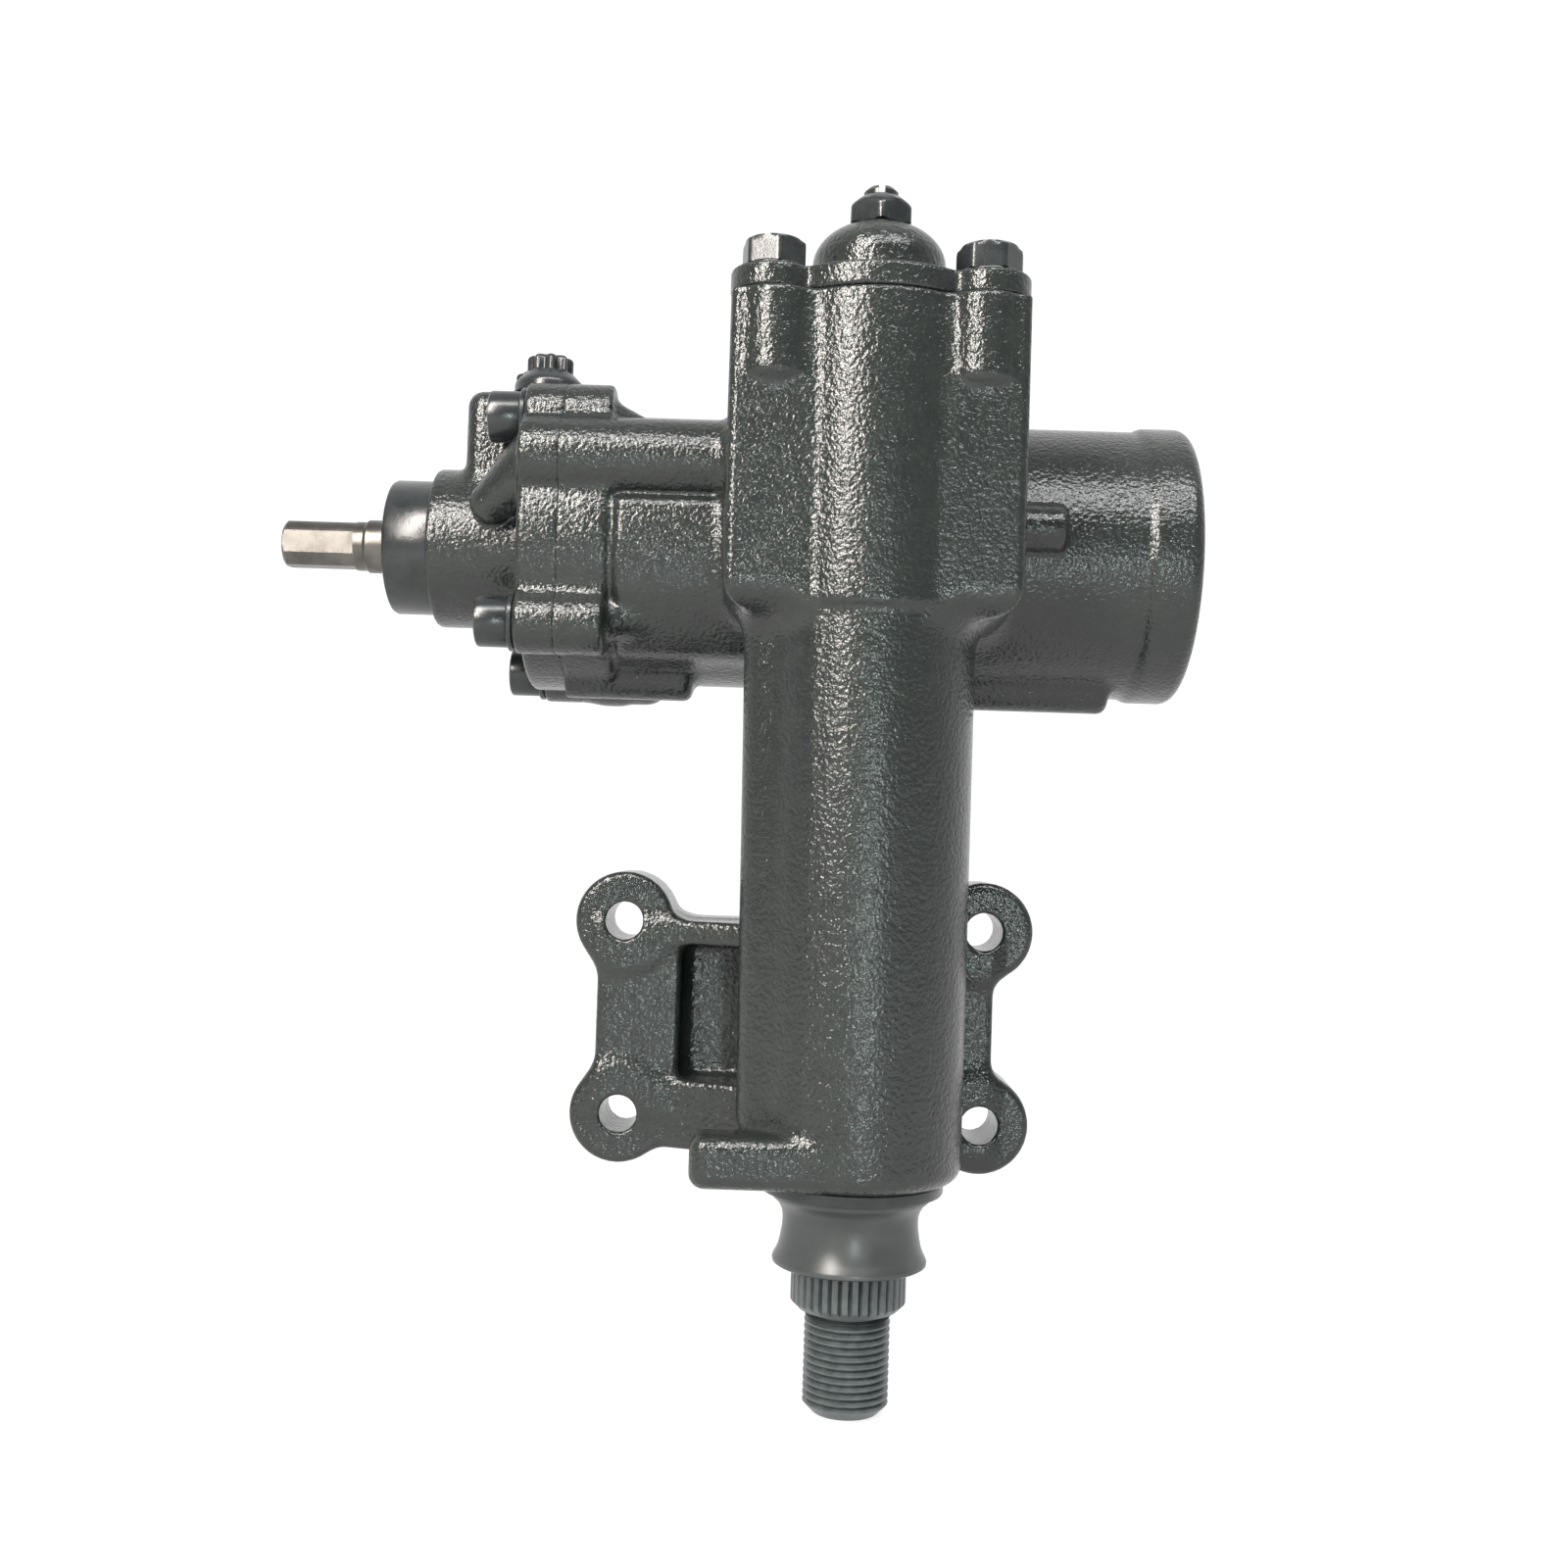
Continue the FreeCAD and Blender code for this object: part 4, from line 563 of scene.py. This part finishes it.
def joint_screws():
    """Socket head screws of the flanged joint and their washers."""
    outline = [
        (0, 6.2), (3.9, 6.2), (3.9, 11.2), (4.3, 11.3), (7.0, 11.3), (7.55, 10.9), (7.7, 10.2),
        (7.7, 2.0), (7.4, 1.6), (4.45, 1.6), (4.45, -24), (3.8, -24.8), (0, -24.8),
    ]
    ring = [(4.7, 0), (8.5, 0), (8.8, 0.3), (8.8, 1.3), (8.5, 1.6), (4.7, 1.6)]
    key = hexagon(7.2, 0.3)

    def socket(angle, radius, position):
        in_socket = position > 6 and radius < 4.2
        return key(angle, radius * 2, position) if in_socket else radius

    screws, washers = [], []
    for centre in lobe_places():
        place = (FLANGE_LEFT, *centre)
        screws.append(lathe("screw", outline, place, LEFT, 96, socket))
        washers.append(lathe("washer", ring, place, LEFT, 72))
    screw_set = joined("valve_housing_screw_set", screws)
    dress(screw_set, "housing", "painted_machined", satin_paint, "valve_housing_screws")
    washer_set = joined("valve_housing_washer_set", washers)
    dress(washer_set, "housing", "painted_machined", satin_paint, "valve_housing_washers")


def adjuster():
    """The locknut with its domed top."""
    outline = [
        (5.02, 0), (7.9, 0), (8.7, 0.2), (9.8, 0.5), (9.8, 4.4), (9.3, 5.4), (8.4, 6.5), (7.3, 7.5),
        (6.2, 8.4), (5.6, 8.8), (5.02, 8.9),
    ]
    place = (SECTOR_X, SECTOR_Y, node_mm("sector_cover")[1][2])
    nut = lathe("adjuster_locknut", outline, place, UP, 96, hexagon(17.0, math.radians(-90)))
    dress(nut, "housing", "painted_machined", satin_paint, "adjusting_screw_locknut")


def port_plugs():
    """Two plugs with scalloped heads on flared rims, and their washers."""
    outline = [
        (0, -12), (5.4, -12), (5.95, -11), (5.95, 0), (10.4, 0), (10.8, 0.4), (10.8, 2.6),
        (10.5, 3.6), (9.6, 4.6), (8.3, 5.9), (7.3, 6.9), (6.9, 7.5), (6.9, 10.8), (6.5, 11.6),
        (5.8, 12.0), (4.0, 12.0), (3.6, 11.4), (0, 11.2),
    ]
    ring = [(6.1, -1), (9.3, -1), (9.6, -0.7), (9.6, -0.3), (9.3, 0), (6.1, 0)]

    def scallops(angle, radius, position):
        if position < 7.2 or radius < 5.5:
            return radius
        return radius * (0.94 + 0.1 * math.cos(9 * angle))

    plugs, washers = [], []
    for place in port_places():
        plugs.append(lathe("plug", outline, place, UP, 126, scallops))
        washers.append(lathe("plug_washer", ring, place, UP, 72))
    dress(joined("port_plug_set", plugs), "housing", "painted_machined", satin_paint, "port_plugs")
    rings = joined("port_plug_washer_set", washers)
    dress(rings, "housing", "painted_machined", satin_paint, "port_plug_washers")


def foot_pieces():
    """The dust seal ring and the flared rubber boot."""
    place = (SECTOR_X, SECTOR_Y, FOOT)
    ring = [
        (18.4, -3.7), (24.4, -3.7), (25.2, -3.4), (25.5, -2.8), (25.5, -0.5), (25.1, 0), (23.3, 0),
        (23.3, 1.1), (19.5, 1.1), (19.5, -1.5), (18.4, -1.5),
    ]
    dust_ring = lathe("foot_dust_ring", ring, place, UP, 128)
    dress(dust_ring, "housing", "painted_machined", satin_paint, "dust_seal_ring")
    boot = [
        (16.5, -23.7), (18.5, -23.8), (20.6, -23.7), (21.4, -23.2), (21.5, -22.5), (21.3, -21.8),
        (20.6, -20.6), (19.9, -18.8), (19.4, -16.6), (19.0, -14.0), (18.85, -11.8), (19.0, -9.9),
        (19.5, -8.3), (20.5, -6.8), (21.8, -5.6), (22.7, -4.7), (22.9, -4.0), (22.7, -3.8),
        (18.6, -3.8), (18.3, -9.0), (16.5, -12.5),
    ]
    rubber_boot = lathe("foot_dust_boot", boot, place, UP, 128)
    dress(rubber_boot, "housing", "rubber", rubber, "dust_boot")


def adjusting_plug():
    """The smooth plug that closes the neck round the input shaft."""
    left = node_mm("bearing_adjusting_plug")[0][0]
    depth = NECK_END - left
    ring = [
        (12.05, 0.5), (12.6, 0), (19.4, 0), (20.5, 0.45), (21.0, 1.4), (21.0, depth - 0.4),
        (20.6, depth), (20.0, depth), (20.0, depth + 3), (12.05, depth + 3),
    ]
    plug = lathe("worm_adjusting_plug", ring, (left, WORM_Y, WORM_Z), RIGHT, 128)
    dress(plug, "housing", "painted_machined", satin_paint, "bearing_adjusting_plug")


def carried_nodes():
    """Materials for the CAD nodes that stay as they are."""
    steel, dark, soft, slick = ground_steel(), satin_paint(), rubber(), seal_plastic()
    bright, grey = input_steel(), phosphated_steel()
    special = {
        "adjusting_screw": dark,
        "sector_shaft": grey,
        "input_shaft": bright,
        "valve_sleeve_rings": slick,
        "piston_seal_ring": slick,
        "sector_cover_seal": soft,
        "valve_housing_seal": soft,
        "sector_oil_seal": soft,
        "input_oil_seal": soft,
        "piston_backup_ring": soft,
    }
    for name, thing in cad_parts.items():
        thing.data.materials.clear()
        thing.data.materials.append(special.get(name, steel))


# ---------------------------------------------------------------- materials
class Nodes:
    """A material and short ways to add nodes to it. Patterns follow the object's coordinates."""

    def __init__(self, name):
        self.material = bpy.data.materials.new(name)
        self.material.use_nodes = True
        self.tree = self.material.node_tree
        self.shader = self.tree.nodes["Principled BSDF"]
        self.place = self.add("ShaderNodeTexCoord").outputs["Object"]

    def add(self, kind):
        return self.tree.nodes.new(kind)

    def link(self, source, target):
        self.tree.links.new(source, target)

    def stretched(self, scale):
        """The object's coordinates with their own scale along each axis."""
        mapping = self.add("ShaderNodeMapping")
        mapping.inputs["Scale"].default_value = scale
        self.link(self.place, mapping.inputs["Vector"])
        return mapping.outputs["Vector"]

    def noise(self, scale, detail=2.0, roughness=0.5, vector=None):
        """A noise pattern with this many waves in a metre."""
        node = self.add("ShaderNodeTexNoise")
        node.inputs["Scale"].default_value = scale
        node.inputs["Detail"].default_value = detail
        node.inputs["Roughness"].default_value = roughness
        self.link(vector or self.place, node.inputs["Vector"])
        return node.outputs["Fac"]

    def ramp(self, source, stops):
        """A colour between two, by a pattern: (position, colour) pairs."""
        node = self.add("ShaderNodeValToRGB")
        bar = node.color_ramp
        for element, (position, colour) in zip(bar.elements, stops):
            element.position = position
            element.color = (*colour, 1)
        self.link(source, node.inputs["Fac"])
        return node.outputs["Color"]

    def spread(self, source, low, high):
        """A pattern from 0 to 1 brought between two values."""
        node = self.add("ShaderNodeMapRange")
        node.inputs["To Min"].default_value = low
        node.inputs["To Max"].default_value = high
        self.link(source, node.inputs["Value"])
        return node.outputs["Result"]

    def bump(self, height, distance, strength, before=None):
        """Relief of a height in metres, on top of an earlier one if it is given."""
        node = self.add("ShaderNodeBump")
        node.inputs["Strength"].default_value = strength
        node.inputs["Distance"].default_value = distance
        self.link(height, node.inputs["Height"])
        if before:
            self.link(before, node.inputs["Normal"])
        return node.outputs["Normal"]

    def finish(self, **sockets):
        """Sets or links the shader's sockets, and gives the material."""
        for name, value in sockets.items():
            socket = self.shader.inputs[name.replace("_", " ")]
            if isinstance(value, bpy.types.NodeSocket):
                self.link(value, socket)
            else:
                socket.default_value = value
        return self.material


@cache
def cast_paint():
    """Gloss black paint over rough sand-cast iron."""
    m = Nodes("cast_paint")
    peel, lumps, waves = m.noise(820), m.noise(240), m.noise(40)
    colour = m.ramp(lumps, [(0.3, (0.013, 0.0155, 0.0145)), (0.7, (0.017, 0.020, 0.0185))])
    normal = m.bump(waves, 0.0008, 0.3)
    normal = m.bump(lumps, 0.0003, 0.4, normal)
    normal = m.bump(peel, 0.00036, 1.0, normal)
    return m.finish(
        Base_Color=colour,
        Roughness=m.spread(m.noise(120), 0.16, 0.2),
        IOR=1.5,
        Normal=normal,
    )


@cache
def satin_paint():
    """The same black paint over machined steel, where it lies smooth."""
    m = Nodes("satin_paint")
    grain = m.noise(1500)
    blots = m.noise(160, 3.0)
    colour = m.ramp(blots, [(0.35, (0.010, 0.012, 0.013)), (0.7, (0.020, 0.023, 0.024))])
    normal = m.bump(blots, 0.0003, 0.3)
    normal = m.bump(grain, 0.00006, 0.6, normal)
    return m.finish(
        Base_Color=colour, Roughness=m.spread(blots, 0.2, 0.3), IOR=1.5, Normal=normal
    )


@cache
def phosphated_steel():
    """Dark grey phosphate coating on the output shaft."""
    m = Nodes("phosphated_steel")
    crystals = m.noise(420, 3.0)
    colour = m.ramp(crystals, [(0.3, (0.032, 0.041, 0.042)), (0.7, (0.060, 0.071, 0.071))])
    return m.finish(
        Base_Color=colour, Roughness=m.spread(crystals, 0.3, 0.45), IOR=1.6,
        Normal=m.bump(crystals, 0.00012, 0.4),
    )


@cache
def rubber():
    """Moulded black rubber, a little dusty."""
    m = Nodes("rubber")
    dust = m.noise(90, 4.0)
    grain = m.noise(2600)
    colour = m.ramp(dust, [(0.35, (0.030, 0.034, 0.034)), (0.75, (0.046, 0.050, 0.050))])
    return m.finish(
        Base_Color=colour, Roughness=m.spread(dust, 0.26, 0.38), Normal=m.bump(grain, 0.00005, 0.5)
    )


@cache
def input_steel():
    """Bright turned steel with fine rings round the shaft."""
    m = Nodes("input_steel")
    rings = m.noise(1.0, 3.0, 0.6, m.stretched((4200, 60, 60)))
    stain = m.noise(140, 4.0)
    colour = m.ramp(stain, [(0.3, (0.085, 0.078, 0.07)), (0.7, (0.15, 0.143, 0.133))])
    return m.finish(
        Base_Color=colour,
        Metallic=1.0,
        Roughness=m.spread(rings, 0.24, 0.42),
        Normal=m.bump(rings, 0.00003, 0.8),
    )


@cache
def ground_steel():
    """Oiled ground steel of the inner pieces."""
    m = Nodes("ground_steel")
    marks = m.noise(600, 3.0)
    colour = m.ramp(marks, [(0.3, (0.42, 0.42, 0.43)), (0.7, (0.60, 0.60, 0.61))])
    return m.finish(
        Base_Color=colour, Metallic=1.0, Roughness=m.spread(marks, 0.2, 0.34),
        Normal=m.bump(m.noise(1800), 0.00003, 0.6),
    )


@cache
def seal_plastic():
    """Filled sliding-seal plastic."""
    m = Nodes("seal_plastic")
    specks = m.noise(700)
    colour = m.ramp(specks, [(0.35, (0.08, 0.075, 0.07)), (0.7, (0.16, 0.15, 0.14))])
    return m.finish(
        Base_Color=colour,
        Roughness=m.spread(specks, 0.4, 0.55),
        Normal=m.bump(specks, 0.00004, 0.5),
    )


@cache
def floor_paint():
    """A matt pale floor that glows a little, so that it stays near white."""
    m = Nodes("floor_paint")
    shade = m.noise(3.0)
    colour = m.ramp(shade, [(0.3, (0.20, 0.20, 0.20)), (0.7, (0.22, 0.22, 0.22))])
    return m.finish(
        Base_Color=colour, Roughness=0.8, Emission_Color=(1, 1, 1, 1), Emission_Strength=0.82
    )


def dress(piece, body, slot, material, *nodes):
    """Gives a piece its material and body, and hides the CAD nodes it stands for; the slot is not
    used.
    """
    piece.data.materials.clear()
    piece.data.materials.append(material())
    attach(piece, body)
    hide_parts(*nodes)


# ---------------------------------------------------------------- studio
FLOOR_REACH = 6.0
CAMERA_PLACE = (-0.0038, SECTOR_Y * MM - 0.460, 0.0533)  # in metres, as is all in the studio
CAMERA_PITCH, CAMERA_YAW, CAMERA_ROLL = (math.radians(turn) for turn in (1.92, 0.41, 1.84))


def softbox(name, side, lift, away, size, power, colour):
    """An area light aimed at the tower, at angles to the side of the camera and above it."""
    target = Vector((SECTOR_X, SECTOR_Y, 80)) * MM
    side, lift = math.radians(side), math.radians(lift)
    across = math.cos(lift)
    aim = Vector((math.sin(side) * across, -math.cos(side) * across, math.sin(lift)))
    data = bpy.data.lights.new(name, "AREA")
    data.shape = "RECTANGLE"
    data.size, data.size_y = size
    data.energy = power
    data.color = colour
    light = bpy.data.objects.new(name, data)
    light.location = target + aim * away
    light.rotation_euler = (-aim).to_track_quat("-Z", "Y").to_euler()
    bpy.context.scene.collection.objects.link(light)


def surroundings():
    """A white world, brighter behind the gearbox than behind the camera."""
    world = bpy.data.worlds.new("studio")
    world.use_nodes = True
    tree = world.node_tree
    background = tree.nodes["Background"]
    direction = tree.nodes.new("ShaderNodeTexCoord")
    parts = tree.nodes.new("ShaderNodeSeparateXYZ")
    shade = tree.nodes.new("ShaderNodeMapRange")
    for name, value in (("From Min", -0.5), ("From Max", 0.5), ("To Min", 0.2), ("To Max", 1.1)):
        shade.inputs[name].default_value = value
    tree.links.new(direction.outputs["Generated"], parts.inputs["Vector"])
    tree.links.new(parts.outputs["Y"], shade.inputs["Value"])
    tree.links.new(shade.outputs["Result"], background.inputs["Strength"])
    background.inputs["Color"].default_value = (1, 1, 1, 1)
    bpy.context.scene.world = world


def studio():
    """A pale floor just under the gearbox, two softboxes in front and one above."""
    level = cad_bounds[0][2] - 0.0005
    corners = [(-1, -1), (1, -1), (1, 1), (-1, 1)]
    mesh = bpy.data.meshes.new("floor")
    points = [(x * FLOOR_REACH, y * FLOOR_REACH, level) for x, y in corners]
    mesh.from_pydata(points, [], [(0, 1, 2, 3)])
    floor = bpy.data.objects.new("floor", mesh)
    floor.data.materials.append(floor_paint())
    bpy.context.scene.collection.objects.link(floor)
    surroundings()
    bpy.context.scene.view_settings.view_transform = "Standard"
    softbox("left_softbox", -32, 30, 1.3, (0.24, 0.9), 30, (1, 0.94, 0.88))
    softbox("right_softbox", 7, -3, 1.3, (0.07, 0.22), 3.2, (0.84, 1, 0.97))
    softbox("top_softbox", 12, 52, 1.4, (1.3, 0.3), 20, (1, 1, 1))


def camera():
    """The camera: almost square on to the plate, a little below the middle, with a slight roll."""
    data = bpy.data.cameras.new("camera")
    data.sensor_width = 36.0
    data.lens = 37.6
    eye = bpy.data.objects.new("camera", data)
    turn = (
        Matrix.Rotation(CAMERA_YAW, 3, "Z")
        @ Matrix.Rotation(math.pi / 2 + CAMERA_PITCH, 3, "X")
        @ Matrix.Rotation(CAMERA_ROLL, 3, "Z")
    )
    eye.matrix_world = Matrix.Translation(CAMERA_PLACE) @ turn.to_4x4()
    bpy.context.scene.collection.objects.link(eye)
    bpy.context.scene.camera = eye


carried_nodes()
gear_housing()
valve_housing()
sector_cover()
cover_bolts()
joint_screws()
adjuster()
port_plugs()
foot_pieces()
adjusting_plug()
studio()
camera()
